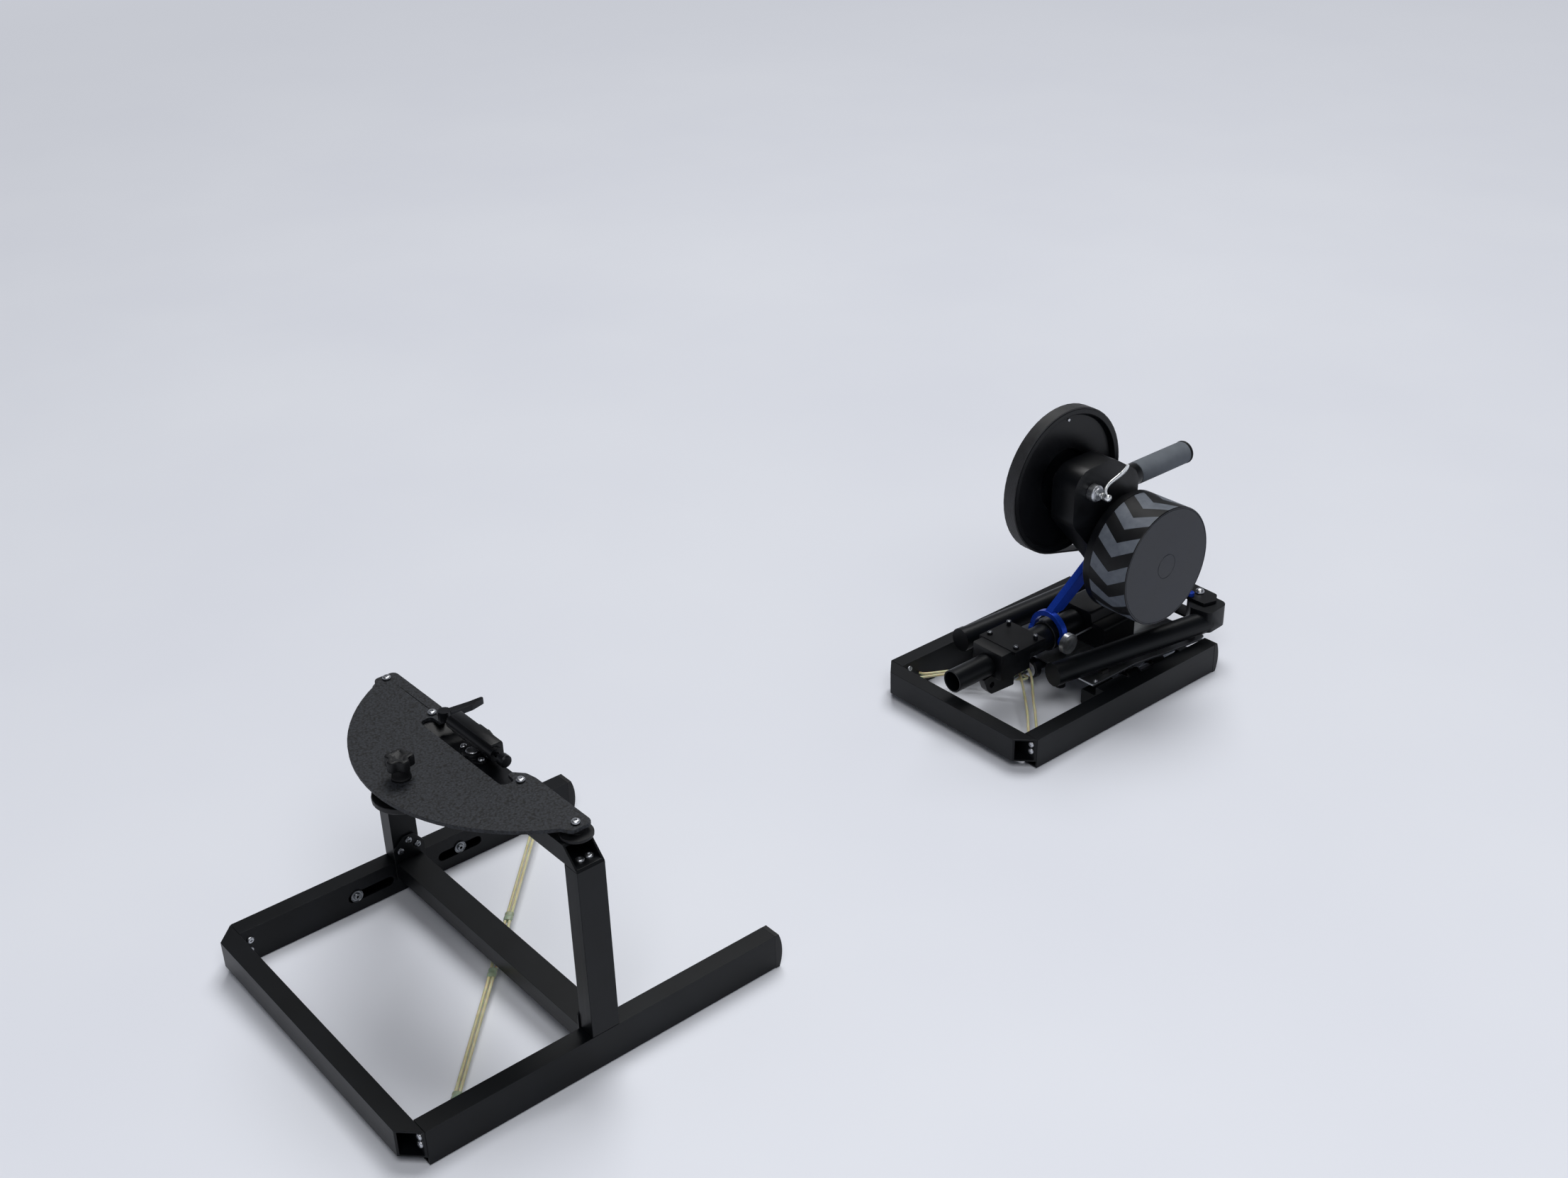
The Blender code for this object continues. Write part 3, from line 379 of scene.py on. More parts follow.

# %% [markdown]
# ### Textured powder coat
#
# The steering plate has a rough powder coat: a charcoal skin of small lumps. A Voronoi cell pattern with
# noise gives the lumps and raises the surface. The same pattern paints the lump tops paler, a painted
# highlight, and the gaps between them near black, a painted shade.

# %% The plate's finish
def powder_coat():
    """Charcoal powder coat with coarse lumps, their tops painted paler and their gaps darker as painted
    light.
    """
    finish, shader, place = surface("textured_powder_coat", Roughness=0.6, IOR=1.4)
    grit = 1 / (2.6 * MM)           # the lumps are about 2.6 mm apart
    lumps = add(finish, "ShaderNodeTexVoronoi", {"Vector": place, "Scale": grit}, feature="SMOOTH_F1")
    fine = noise(finish, place, grit * 0.7, 3.0)
    mixed = maths(finish, "MULTIPLY", lumps.outputs["Distance"], fine)
    # painted highlight on the lump tops and painted shade in the gaps between the lumps
    tint = ramp(finish, mixed, 0.05, 0.38, "#2c2f35", "#040506")
    height = relief(finish, mixed, 0.9, 0.7, invert=True)
    to_shader(finish, shader, Base_Color=tint, Normal=height)
    return finish


POWDER = powder_coat()
print(POWDER.name)

# %% [markdown]
# ### Black castings, plastics and rubber
#
# The head and the brackets are painted black and a little glossy. The caps, the star knob and the posts are
# moulded in nylon, whose mould was spark eroded, so they are matt with a very fine grain. The stop on the
# tray is rubber, matt and slightly brown, and the front skewer is black oxide steel. They differ in
# roughness, in the size of the grain and in how warm the black is. The oxide is so thin that some of the
# metal's shine stays, so it counts as metal by half.

# %% The plain black finishes
def black_finish(name, dark, light, roughness, grain, strength, ior=1.42):
    """A black skin with clouds of two tones and a fine grain of the given size in millimetres."""
    finish, shader, place = surface(name, Roughness=roughness, IOR=ior)
    cloud = noise(finish, place, 22.0, 5.0)
    fine = noise(finish, place, 1 / (grain * MM), 2.0)
    tint = ramp(finish, cloud, 0.35, 0.7, dark, light)
    wear = between(finish, cloud, roughness - 0.05, roughness + 0.07)
    bump = relief(finish, fine, strength, 0.2)
    to_shader(finish, shader, Base_Color=tint, Roughness=wear, Normal=bump)
    return finish


PAINTED = black_finish("satin_black_paint", "#040508", "#090b0f", 0.36, 2.5, 0.12, ior=1.33)
MOULDED = black_finish("moulded_nylon_black", "#07080b", "#0e0f12", 0.5, 0.7, 0.2, ior=1.38)
RUBBER = black_finish("moulded_rubber_black", "#141312", "#1e1c1b", 0.72, 1.0, 0.5)
OXIDE = black_finish("black_oxide_steel", "#121317", "#1d1f23", 0.33, 1.4, 0.15)
OXIDE.node_tree.nodes["Principled BSDF"].inputs["Metallic"].default_value = 0.5
print(PAINTED.name, MOULDED.name, RUBBER.name, OXIDE.name)

# %% [markdown]
# ### Bare and plated metal
#
# Stainless screws and shafts, nickel-plated sprockets, the chromed knob and lever, the polished tray and
# the blue anodised yoke are all metal. A metal takes its colour from its reflection, so the base colour is
# pale and the difference lies in the roughness and in the direction of the tool marks. The yoke's dye covers
# a part of the metal, so it counts as metal only in part.

# %% The metal finishes
def metal(name, dark, light, roughness, mark, spread=(1.0, 1.0, 1.0), strength=0.05):
    """A metal with tool marks of the given spacing in millimetres, stretched by spread."""
    finish, shader, place = surface(name, Metallic=1.0, Roughness=roughness)
    scale = [s / (mark * MM) for s in spread]
    laid = add(finish, "ShaderNodeMapping", {"Vector": place, "Scale": scale}).outputs["Vector"]
    marks = noise(finish, laid, 1.0, 3.0)
    tint = ramp(finish, marks, 0.3, 0.7, dark, light)
    wear = between(finish, marks, roughness * 0.8, roughness * 1.25)
    bump = relief(finish, marks, strength, 0.1)
    to_shader(finish, shader, Base_Color=tint, Roughness=wear, Normal=bump)
    return finish


STAINLESS = metal("stainless_steel_turned", "#b0b3b8", "#cfd1d5", 0.34, 0.8)
NICKEL = metal("nickel_plated_steel", "#6f7276", "#94979b", 0.3, 1.2)
CHROME = metal("chrome_plated_steel", "#e2e4e4", "#f4f6f5", 0.32, 4.0)
BARE_ROD = metal("ground_steel_rod", "#9da0a5", "#c4c6ca", 0.22, 0.7, (1.0, 0.02, 1.0))
POLISHED = metal("polished_aluminium_sheet", "#c4c8cd", "#d4d8dc", 0.34, 1.6, (1.0, 0.008, 1.0), 0.015)
BLUE = metal("blue_anodised_aluminium", "#0f37a6", "#1c4dcb", 0.36, 1.0)
BLUE.node_tree.nodes["Principled BSDF"].inputs["Metallic"].default_value = 0.6
print("metals:", STAINLESS.name, NICKEL.name, CHROME.name, BARE_ROD.name, POLISHED.name, BLUE.name)

# %% [markdown]
# ### Foam, rubber belt and latex
#
# The handle has a sleeve of closed-cell foam: grey, dull and pitted. The belt is black rubber with fine
# ribs along its run. The cords are latex tube, pale yellow, and light passes a little way into it, which
# subsurface scattering gives.

# %% The soft finishes
def foam():
    """Grey closed-cell foam with pits."""
    finish, shader, place = surface("closed_cell_foam_grey", Roughness=0.85, IOR=1.45)
    pit = 0.8 * MM
    cells = add(finish, "ShaderNodeTexVoronoi", {"Vector": place, "Scale": 1 / pit}).outputs["Distance"]
    cloud = noise(finish, place, 35.0, 4.0)
    tint = ramp(finish, cloud, 0.3, 0.75, "#5f656c", "#6c7279")
    pits = relief(finish, cells, 0.25, 0.2)
    to_shader(finish, shader, Base_Color=tint, Normal=pits)
    return finish


def belt_rubber():
    """Black belt rubber with ribs that lie side by side across the belt's width."""
    finish, shader, place = surface("ribbed_belt_rubber", Roughness=0.55, IOR=1.5)
    rib = 2.3 * MM
    across = add(finish, "ShaderNodeSeparateXYZ", {"Vector": place}).outputs["X"]
    ribs = maths(finish, "SINE", maths(finish, "MULTIPLY", across, 2 * math.pi / rib))
    dust = noise(finish, place, 60.0, 5.0)
    tint = ramp(finish, dust, 0.35, 0.75, "#141416", "#242528")
    bump = relief(finish, ribs, 0.35, 0.4)
    to_shader(finish, shader, Base_Color=tint, Normal=bump)
    return finish


def latex(name, dark, light, roughness):
    """Latex or soft plastic with cloudy colour."""
    finish, shader, place = surface(name, Roughness=roughness, IOR=1.52, Subsurface_Weight=0.35,
                                    Subsurface_Scale=0.004)
    cloud = noise(finish, place, 70.0, 4.0)
    tint = ramp(finish, cloud, 0.3, 0.7, dark, light)
    talc = relief(finish, cloud, 0.1, 0.2)
    to_shader(finish, shader, Base_Color=tint, Normal=talc)
    return finish


FOAM = foam()
BELT = belt_rubber()
LATEX = latex("natural_latex_tube", "#c9c494", "#ddd9b4", 0.35)
COUPLER = latex("green_vinyl_sleeve", "#8b9c80", "#a9b79d", 0.45)
print(FOAM.name, BELT.name, LATEX.name, COUPLER.name)

# %% [markdown]
# ### Flywheel
#
# The steel flywheel is painted slate grey on its face, and its rim carries grey and black chevrons. On the
# real wheel they are a wrap or paint. Here they are worked out from the angle round the axle and the
# distance from the middle of the rim, so they meet with no seam: thirteen pairs go round.

# %% The flywheel's finishes
WHEEL_AXLE = rear(0, 290, 227)
CHEVRONS = 13
RIM_MIDDLE = 106 * MM       # where the chevrons' points lie
RIM_RADIUS = 94.8 * MM
CHEVRON_LEAN = math.tan(math.radians(31.0))
FACING_LINES = 1.6 * MM     # from ring to ring on the face


def from_axle(finish, place):
    """The place counted from the flywheel's axle, as X, Y and Z outputs."""
    centred = add(finish, "ShaderNodeVectorMath", {0: place, 1: WHEEL_AXLE}, operation="SUBTRACT")
    return add(finish, "ShaderNodeSeparateXYZ", {"Vector": centred.outputs[0]}).outputs


def chevron_rim():
    """Grey and black chevrons round the rim."""
    finish, shader, place = surface("chevron_painted_rim", Roughness=0.5, IOR=1.34)
    parts = from_axle(finish, place)
    angle = maths(finish, "ARCTAN2", parts["Z"], parts["Y"])
    offset = maths(finish, "SUBTRACT", parts["X"], RIM_MIDDLE)
    side = maths(finish, "ABSOLUTE", offset)
    lean = maths(finish, "MULTIPLY", side, CHEVRON_LEAN / RIM_RADIUS)
    moved = maths(finish, "ADD", angle, lean)
    turns = maths(finish, "MULTIPLY", moved, CHEVRONS / (2 * math.pi))
    share = maths(finish, "FRACT", turns)
    even = maths(finish, "SUBTRACT", share, 0.5)
    band = maths(finish, "ABSOLUTE", even)
    edge = add(finish, "ShaderNodeMapRange", {"Value": band, "From Min": 0.245, "From Max": 0.255})
    dust = noise(finish, place, 90.0, 5.0)
    grey = ramp(finish, dust, 0.3, 0.75, "#5c626b", "#6c727b")
    black = ramp(finish, dust, 0.3, 0.75, "#08090b", "#111215")
    sockets = {"Factor": edge.outputs["Result"], "A": grey, "B": black}
    tint = add(finish, "ShaderNodeMix", sockets, data_type="RGBA")
    to_shader(finish, shader, Base_Color=tint.outputs["Result"])
    return finish


def slate_face():
    """Slate paint with the faint rings that facing on a lathe leaves."""
    finish, shader, place = surface("slate_painted_steel", Roughness=0.46, IOR=1.45)
    parts = from_axle(finish, place)
    flat = add(finish, "ShaderNodeCombineXYZ", {"Y": parts["Y"], "Z": parts["Z"]}).outputs[0]
    radius = add(finish, "ShaderNodeVectorMath", {0: flat}, operation="LENGTH").outputs["Value"]
    count = maths(finish, "MULTIPLY", radius, 2 * math.pi / FACING_LINES)
    rings = maths(finish, "SINE", count)
    cloud = noise(finish, place, 26.0, 6.0)
    tint = ramp(finish, cloud, 0.3, 0.75, "#1f2229", "#2a2d35")
    bump = relief(finish, rings, 0.12, 0.2)
    wear = between(finish, cloud, 0.4, 0.55)
    to_shader(finish, shader, Base_Color=tint, Normal=bump, Roughness=wear)
    return finish


CHEVRON = chevron_rim()
SLATE = slate_face()
print(CHEVRON.name, SLATE.name)

# %% [markdown]
# ## Button screws
#
# The frame is held by button head screws with a hex socket. One screw is modelled with care and copied to
# every place, because a real one is the same part each time. The dome is a cylinder whose top is extruded
# and drawn in three times. A six-sided cylinder, taken away with a Boolean, leaves the socket.

# %% One button screw
rest()
bpy.ops.mesh.primitive_cylinder_add(vertices=28, radius=5.5 * MM, depth=1.0 * MM, location=(0, 0, 0.5 * MM))
screw = named("button_screw")
choose("FACE", lambda f: f.normal.z > 0.9)
for rise, draw in ((0.9, 0.93), (0.7, 0.86), (0.4, 0.78)):
    bpy.ops.mesh.extrude_region_move(TRANSFORM_OT_translate={"value": (0, 0, rise * MM)})
    bpy.ops.transform.resize(value=(draw, draw, 1), center_override=(0, 0, 0))
settled(screw)
bpy.ops.mesh.primitive_cylinder_add(vertices=6, radius=2.3 * MM, depth=3.0 * MM, location=(0, 0, 3.0 * MM))
socket = bpy.context.object
settled(socket)
modified(screw, "BOOLEAN", operation="DIFFERENCE", object=socket, solver="EXACT")
bpy.data.objects.remove(socket)
print("the screw has", len(screw.data.polygons), "faces")

# %% [markdown]
# Each set of screws is one piece. It has its body, its size beside the first screw, and a place and an
# outward direction for each copy. The copies are turned a little against each other, as hands leave them.
# The sets that look dull in the picture are nickel plated, and the others are stainless.

# %% Screws at all their places
SIDES = {"left": 1, "right": -1}
BOTH = tuple(SIDES.values())
UP = (0, 0, 1)
AHEAD = (0, -1, 0)
GUSSET_HOLES = ((247.2, 78.6), (259.7, 66.9), (233.8, 66.5), (232, 25))
CORNER_HEIGHTS = (40.4, 28.8)
CORNER_HOLES = ((12.7, 34.7), (10.1, 20.0))


def inward(side):
    """The direction from a side rail to the middle of its station."""
    return (-side, 0, 0)


SCREWS = {
    "plate_screws": ("steering", 1.0,
                     [(front(s * x, 249.8, 331.5), UP) for s in BOTH for x in (211.7, 99.5)]),
    "flange_screws": ("steering", 0.72, [(front(s * 20, 245, 322.7), UP) for s in BOTH]),
    "beam_screws": ("front_base", 0.95,
                    [(front(s * 227, y, 291.5), UP) for s in BOTH for y in (241.4, 253.9)]),
    "gusset_screws": ("front_base", 0.9,
                      [(front(s * 214.1, y, z), inward(s)) for s in BOTH for y, z in GUSSET_HOLES]),
    "front_corner_screws": ("front_base", 0.9,
                            [(front(s * 233.8, -2.6, z), AHEAD) for s in BOTH for z in CORNER_HEIGHTS]
                            + [(front(s * 217.7, y, z), inward(s)) for s in BOTH for y, z in CORNER_HOLES]),
    "rear_corner_screws": ("rear_base", 0.9,
                           [(rear(s * 146.7, -2.6, z), AHEAD) for s in BOTH for z in CORNER_HEIGHTS]
                           + [(rear(s * 130.6, 15.4, 40.4), inward(s)) for s in BOTH]),
    "clamp_screws": ("rocker", 0.66, [(rear(-38, 98, 113), UP), (rear(20, 95, 113), UP),
                                      (rear(-38, 140, 116), UP), (rear(20, 138, 116), UP)]),
    "tray_screws": ("rocker", 0.6, [(rear(s * 102, 187, 51.2), UP) for s in BOTH]),
}
DULL_SCREWS = ("clamp_screws", "gusset_screws")
for name, (body, size, places) in SCREWS.items():
    copies = [copied(screw, name, place, direction, size, spin=0.7 * k)
              for k, (place, direction) in enumerate(places)]
    done(merged(name, copies), NICKEL if name in DULL_SCREWS else STAINLESS, body, angle=40)
bpy.data.objects.remove(screw)

# %% [markdown]
# ## Washers in the slots
#
# Two screws sit in the slots of the right front rail. Each holds a dished washer whose rim shows as a fine
# ring. Both are turned, and a round hole stands for the screw's socket, because it shows so small.

# %% Screws and dished washers in the slots
SLOT_WALL = -217.6
DISH = [(0, 3.0), (0, 8.2), (0.5, 8.8), (1.6, 8.8), (1.9, 8.4), (1.6, 7.9), (0.8, 7.4), (0.8, 3.0), (0, 3.0)]
SLOT_HEAD = [(0.6, 1.8), (0.6, 4.9), (2.2, 4.9), (3.2, 4.3), (3.7, 3.2), (3.7, 2.2), (3.4, 1.9), (1.6, 1.8),
             (0.6, 1.8)]
washers = []
for y, z in ((323, 28.3), (164, 26.5)):
    washers.append(lathe("slot_washer", DISH, front(SLOT_WALL, y, z), "X", 48))
    washers.append(lathe("slot_screw", SLOT_HEAD, front(SLOT_WALL, y, z), "X", 24))
done(merged("slot_washers", washers), NICKEL, "front_base")

# %% [markdown]
# ## The lock knob
#
# A star knob of moulded nylon locks the steering. It has five round lobes, so fingers find a hold. A
# cylinder with sixty sides becomes the star when its points are drawn in by steps between the lobes. The
# rims are then bevelled wide and the top gets a shallow dish, because nothing moulded is sharp.

# %% The star
LOBES = 5
LOBE_STEP = 12                                  # points from one lobe to the next
DRAWN_IN = (1.0, 0.995, 0.975, 0.92, 0.83, 0.76, 0.735)
STAR_DEPTH = 15.0 * MM
star_middle = front(0, 150, 353.5)
rest()
bpy.ops.mesh.primitive_cylinder_add(vertices=LOBES * LOBE_STEP, radius=17.9 * MM, depth=STAR_DEPTH,
                                    location=star_middle)
star = named("star_knob_head")


def lobe_step(point):
    """How many points away from the nearest lobe a point of the rim is."""
    turn = math.atan2(point.co.y, point.co.x) / (2 * math.pi) * LOBES * LOBE_STEP
    step = round(turn) % LOBE_STEP
    return min(step, LOBE_STEP - step)


for step, draw in enumerate(DRAWN_IN):
    choose("VERT", lambda v: lobe_step(v) == step)
    bpy.ops.transform.resize(value=(draw, draw, 1), center_override=star_middle)
choose("EDGE", lambda e: abs(e.verts[0].co.z - e.verts[1].co.z) < 1e-6)
bpy.ops.mesh.bevel(offset=2.4 * MM, segments=4, affect="EDGES")
choose("FACE", lambda f: f.normal.z > 0.99 and f.calc_center_median().z > STAR_DEPTH / 2 - 0.5 * MM)
bpy.ops.mesh.inset(thickness=3.5 * MM)
bpy.ops.mesh.inset(thickness=1.0 * MM, depth=-0.8 * MM)
done(star, MOULDED, "lock_knob", ["star_knob"], angle=50)

# %% [markdown]
# The star's column and the stud below it are one turned piece. The plate is 5 mm thick with its top at 330
# mm, so what lies below that height is the steel stud with its head.

# %% Column and stud
PLATE_TOP = 330
column = [(289, 0), (289, 7.4), (289.6, 8), (296.1, 8), (296.7, 7.4), (296.7, 4), (330.3, 4), (330.3, 11.4),
          (330.8, 11.9), (332.6, 11.9), (333.4, 11.4), (335, 11.1), (338, 10.9), (348, 10.7), (348, 0)]
stem = lathe("star_knob_column", column, front(0, 150, 0), "Z", 64, [lambda step, radius: step < PLATE_TOP])
done(stem, [MOULDED, STAINLESS], "lock_knob", ["star_knob"])

# %% [markdown]
# ## The height knob
#
# The height of the head is clamped by a thin chromed knob. Its rim is left plain. The face is bright, with
# one fine ring close to its edge, and a low dome inside the ring that is drawn in and raised five times.

# %% Chromed knob
knob_middle = rear(31.5, 201, 82)
rest()
bpy.ops.mesh.primitive_cylinder_add(vertices=144, radius=16.6 * MM, depth=8.4 * MM, location=knob_middle,
                                    rotation=(0, math.pi / 2, 0))
height_knob = bpy.context.object
settled(height_knob)
named("height_knob_head")
choose("FACE", lambda f: abs(f.normal.x) > 0.9)
bpy.ops.mesh.inset(thickness=1.1 * MM)
choose("FACE", lambda f: len(f.verts) > 100)
bpy.ops.transform.resize(value=(1.09, 1, 1), center_override=knob_middle)
choose("FACE", lambda f: len(f.verts) > 100 and f.normal.x > 0.9)
bpy.ops.mesh.inset(thickness=1.2 * MM)
bpy.ops.mesh.inset(thickness=0.3 * MM, depth=-0.15 * MM)
for width, rise in ((1.6, 0.5), (2.6, 0.6), (2.8, 0.4), (3.0, 0.25), (2.4, 0.08)):
    bpy.ops.mesh.inset(thickness=width * MM, depth=rise * MM)
done(height_knob, CHROME, "knob", ["height_knob"], angle=35)
stud = [(15.5, 0), (15.5, 2.5), (16, 3), (28, 3), (28, 0)]
done(lathe("height_knob_stud", stud, rear(0, 201, 82), "X", 24), STAINLESS, "knob", ["height_knob"])

# %% [markdown]
# ## Flywheel
#
# The flywheel is a thick steel drum with its mass in the rim. Its face has a fine groove just inside the
# edge and a ring round the axle's cap, both left by turning. It is spun from one section with 160 steps, so
# the outline stays round, and each zone of the section gets its own finish.

# %% Turned flywheel
wheel = [(-24, 0), (-24, 7.4), (-23.4, 8), (3.9, 8), (3.9, 12), (50.6, 12), (50.6, 23.4), (51.2, 24),
         (128, 24), (128, 80), (58, 84), (57, 85), (57, 93.8), (58, 94.8), (69.5, 94.8), (69.9, 94.3),
         (70.5, 94.3), (70.9, 94.8), (138.8, 94.8), (140, 93.8), (140, 92.6), (139.3, 92.3), (139.3, 91.7),
         (140, 91.4), (140, 19.9), (139.5, 19.6), (139.5, 18.9), (140, 18.6), (140, 0)]


def on_rim(step, radius):
    """The outer skin, which carries the chevrons."""
    return radius > 94.5 and 70.7 < step < 139


def in_black(step, radius):
    """The back, the hollow inside and the rounded edge of the face."""
    back = radius > 79 and step < 70.7
    hollow = 24 < radius < 85 and step < 128.5
    edge = radius > 93.5 and step > 139
    return back or hollow or edge


def on_shaft(step, radius):
    """The shaft behind the drum."""
    return radius < 13 and step < 51


on_axle = WHEEL_AXLE - Vector((WHEEL_AXLE.x, 0, 0))
flywheel = lathe("flywheel_turned", wheel, on_axle, "X", 160, [on_rim, in_black, on_shaft])
done(flywheel, [SLATE, CHEVRON, PAINTED, STAINLESS], "wheel", ["flywheel"], angle=28)

# %% [markdown]
# ## Drive pulley
#
# The cassette turns a large pulley, whose belt drives the flywheel. The pulley is a black disc with a deep
# dish. It is turned in the same way, and one pale grub screw sits near its rim as in the picture.

# %% Turned drive pulley and its grub screw
hub_centre = rear(0, 215, 345)
disc = [(-20, 9.1), (-20, 47), (-19.6, 48), (-16.4, 51.4), (-16, 52.4), (-16, 103), (-16.6, 104.2),
        (-19.4, 105.6), (-20, 106.4), (-20, 113.4), (2, 113.4), (2, 106.8), (1.4, 105.9), (-5, 103.4),
        (-6, 102.2), (-6, 51), (-6.5, 50), (-13.4, 46.6), (-14, 45.6), (-14, 15.6), (-13.4, 15), (4.2, 13),
        (4.5, 12.7), (4.5, 9.1), (-20, 9.1)]
pulley = lathe("drive_pulley_turned", disc, hub_centre, "X", 128)
done(pulley, PAINTED, "hub", ["drive_pulley"])
grub = [(-6.6, 0), (-6.6, 2.6), (-4.6, 2.6), (-4.2, 2.2), (-4.2, 0)]
done(lathe("pulley_grub_screw", grub, rear(0, 219, 442), "X", 20), STAINLESS, "hub")

# %% [markdown]
# ## Cassette
#
# Nine nickel-plated sprockets sit side by side, from 28 teeth down to 11. Their pitch is half an inch, so
# the number of teeth sets the size of each one. A circle with four points to a tooth becomes a sprocket
# when two of the four are drawn in. It is inset and extruded to its thickness.

# %% Toothed sprockets
PITCH = 12.7
TEETH = (11, 12, 13, 15, 17, 19, 22, 25, 28)
TOOTH_TIP = 1.8                  # from the pitch line to the tip
TOOTH_DEPTH = 4.6
SPROCKET_DEPTH = 1.8
FIRST_SPROCKET = -61.5
SPROCKET_STEP = 4.1
sprockets = []
for number, teeth in enumerate(TEETH):
    tip = PITCH * teeth / (2 * math.pi) + TOOTH_TIP
    points = 4 * teeth
    rest()
    bpy.ops.mesh.primitive_circle_add(vertices=points, radius=tip * MM, fill_type="NGON")
    named("sprocket")
    choose("VERT", lambda v: round(math.atan2(v.co.y, v.co.x) / (2 * math.pi) * points) % 4 in (2, 3))
    drawn = (tip - TOOTH_DEPTH) / tip
    bpy.ops.transform.resize(value=(drawn, drawn, 1), center_override=(0, 0, 0))
    bpy.ops.mesh.select_all(action="SELECT")
    bpy.ops.mesh.inset(thickness=1.0 * MM)
    choose("FACE", lambda f: True)
    bpy.ops.mesh.extrude_region_move(TRANSFORM_OT_translate={"value": (0, 0, SPROCKET_DEPTH * MM)})
    bpy.ops.mesh.select_all(action="SELECT")
    bpy.ops.mesh.normals_make_consistent(inside=False)
    blank = bpy.context.object
    rest()
    beside_hub = Vector(((SPROCKET_STEP * number + FIRST_SPROCKET) * MM, 0, 0))
    sprockets.append(copied(blank, "sprocket", hub_centre + beside_hub, AXES["X"]))
    bpy.data.objects.remove(blank)
freehub = [(-62, 9.1), (-62, 17), (-24.5, 17), (-24.2, 21), (-23, 21), (-22.6, 20.6), (-22.6, 9.1),
           (-62, 9.1)]
sprockets.append(lathe("cassette_body", freehub, hub_centre, "X", 48))
done(merged("cassette_sprockets", sprockets), NICKEL, "hub", ["cassette"], angle=25)

# %% [markdown]
# ## Handle
#
# A grey foam sleeve with a thin black end plug is the carrying handle. Foam swells a little between its
# ends, and the plug stands proud of it. Both are turned.

# %% Foam sleeve and end plug
handle = rear(24, 0, 325)
sleeve = [(344.4, 0), (344.4, 16.8), (345.0, 17.6), (347, 17.9), (400, 18.0), (455, 17.9), (458.2, 17.7),
          (458.7, 17.2), (458.7, 0)]
done(lathe("handle_foam", sleeve, handle, "Y", 72), FOAM, "head", ["handle_grip"])
plug = [(459, 0), (459, 17.4), (459.4, 18.1), (460.0, 18.4), (461.6, 18.4), (463.0, 17.9), (463.8, 16.8),
        (464, 15.2), (463.8, 6), (463.5, 0)]
done(lathe("handle_plug", plug, handle, "Y", 72), MOULDED, "head", ["handle_grip"])

# %% [markdown]
# ## Quick-release lever
#
# The axle is clamped by a chromed cam lever. Its blade is forged: thin, bent forward like a flat S, and a
# little wider towards the tip. A box is extruded from bend to bend, each end is drawn to the width of the
# blade there, and a Subdivision Surface rounds the whole.

# %% Bent blade
LEVER_WAY = Vector((0, 1, 1)).normalized()
LEVER_PIN = Vector((0, 1, -1)).normalized()
lever_start = rear(80, 215, 345)
lever_turn = Matrix((LEVER_PIN, LEVER_WAY, AXES["X"])).transposed()
width, start_length, depth = 6.4, 3.0, 5.2
# Each bend is a place counted from the start, and the blade's width and depth there.
BENDS = [((-4, -2, 11), 6.0, 4.8), ((-5, 4, 16.5), 6.6, 4.8), ((-4.6, 11, 20), 7.4, 4.7),
         ((-4, 18, 22.4), 8.2, 4.6), ((-3.4, 27, 25.3), 9.0, 4.5), ((-3, 34.5, 28.3), 9.4, 4.4),
         ((-2, 39.5, 32.5), 9.4, 4.2), ((-1, 43, 37.5), 8.6, 3.8), ((-0.6, 44.5, 41), 6.0, 3.2)]
rest()
bpy.ops.mesh.primitive_cube_add(size=1, location=lever_start, rotation=lever_turn.to_euler(),
                                scale=(width * MM, start_length * MM, depth * MM))
lever = bpy.context.object
bpy.ops.object.transform_apply(location=False, rotation=False, scale=True)
named("hub_lever_blade")
choose("FACE", lambda f: f.normal.y > 0.9)
spot = lever_start + LEVER_WAY * start_length / 2 * MM
for bend, wide, thick in BENDS:
    following = lever_start + Vector(bend) * MM
    bpy.ops.mesh.extrude_region_move(TRANSFORM_OT_translate={"value": following - spot})
    bpy.ops.transform.resize(value=(wide / width, 1, thick / depth), orient_type="LOCAL",
                             center_override=following)
    spot, width, depth = following, wide, thick
modified(lever, "SUBSURF", levels=3, render_levels=3)
done(lever, CHROME, "hub_cam", ["hub_lever"], angle=60)

# %% [markdown]
# The blade starts at a round cam that swings on a small pin. The cam is turned like the other round pieces,
# and the pin is a cylinder with its edges rounded. Neither needs more, because both are small.

# %% Cam and pin
cam = [(-5.3, 0), (-5.3, 3.4), (-4.9, 4.3), (-3.9, 5.2), (-3.2, 5.5), (3.2, 5.5), (3.9, 5.2), (5.2, 4.0),
       (6.0, 2.6), (6.0, 0)]
done(lathe("hub_lever_cam", cam, lever_start, "X", 48), CHROME, "hub_cam", ["hub_lever"])
rest()
bpy.ops.mesh.primitive_cylinder_add(vertices=32, radius=3.1 * MM, depth=13.8 * MM, location=lever_start,
                                    rotation=LEVER_PIN.to_track_quat("Z", "Y").to_euler())
pin = bpy.context.object
pin.name = "hub_lever_pin"
settled(pin)
rounded(pin, 0.6, 3)
done(pin, STAINLESS, "hub_cam", ["hub_lever"])

# %% [markdown]
# The skewer runs through the hollow axle, with a seat for the cam on one end and a nut on the other. All
# three are round, so one profile makes them.

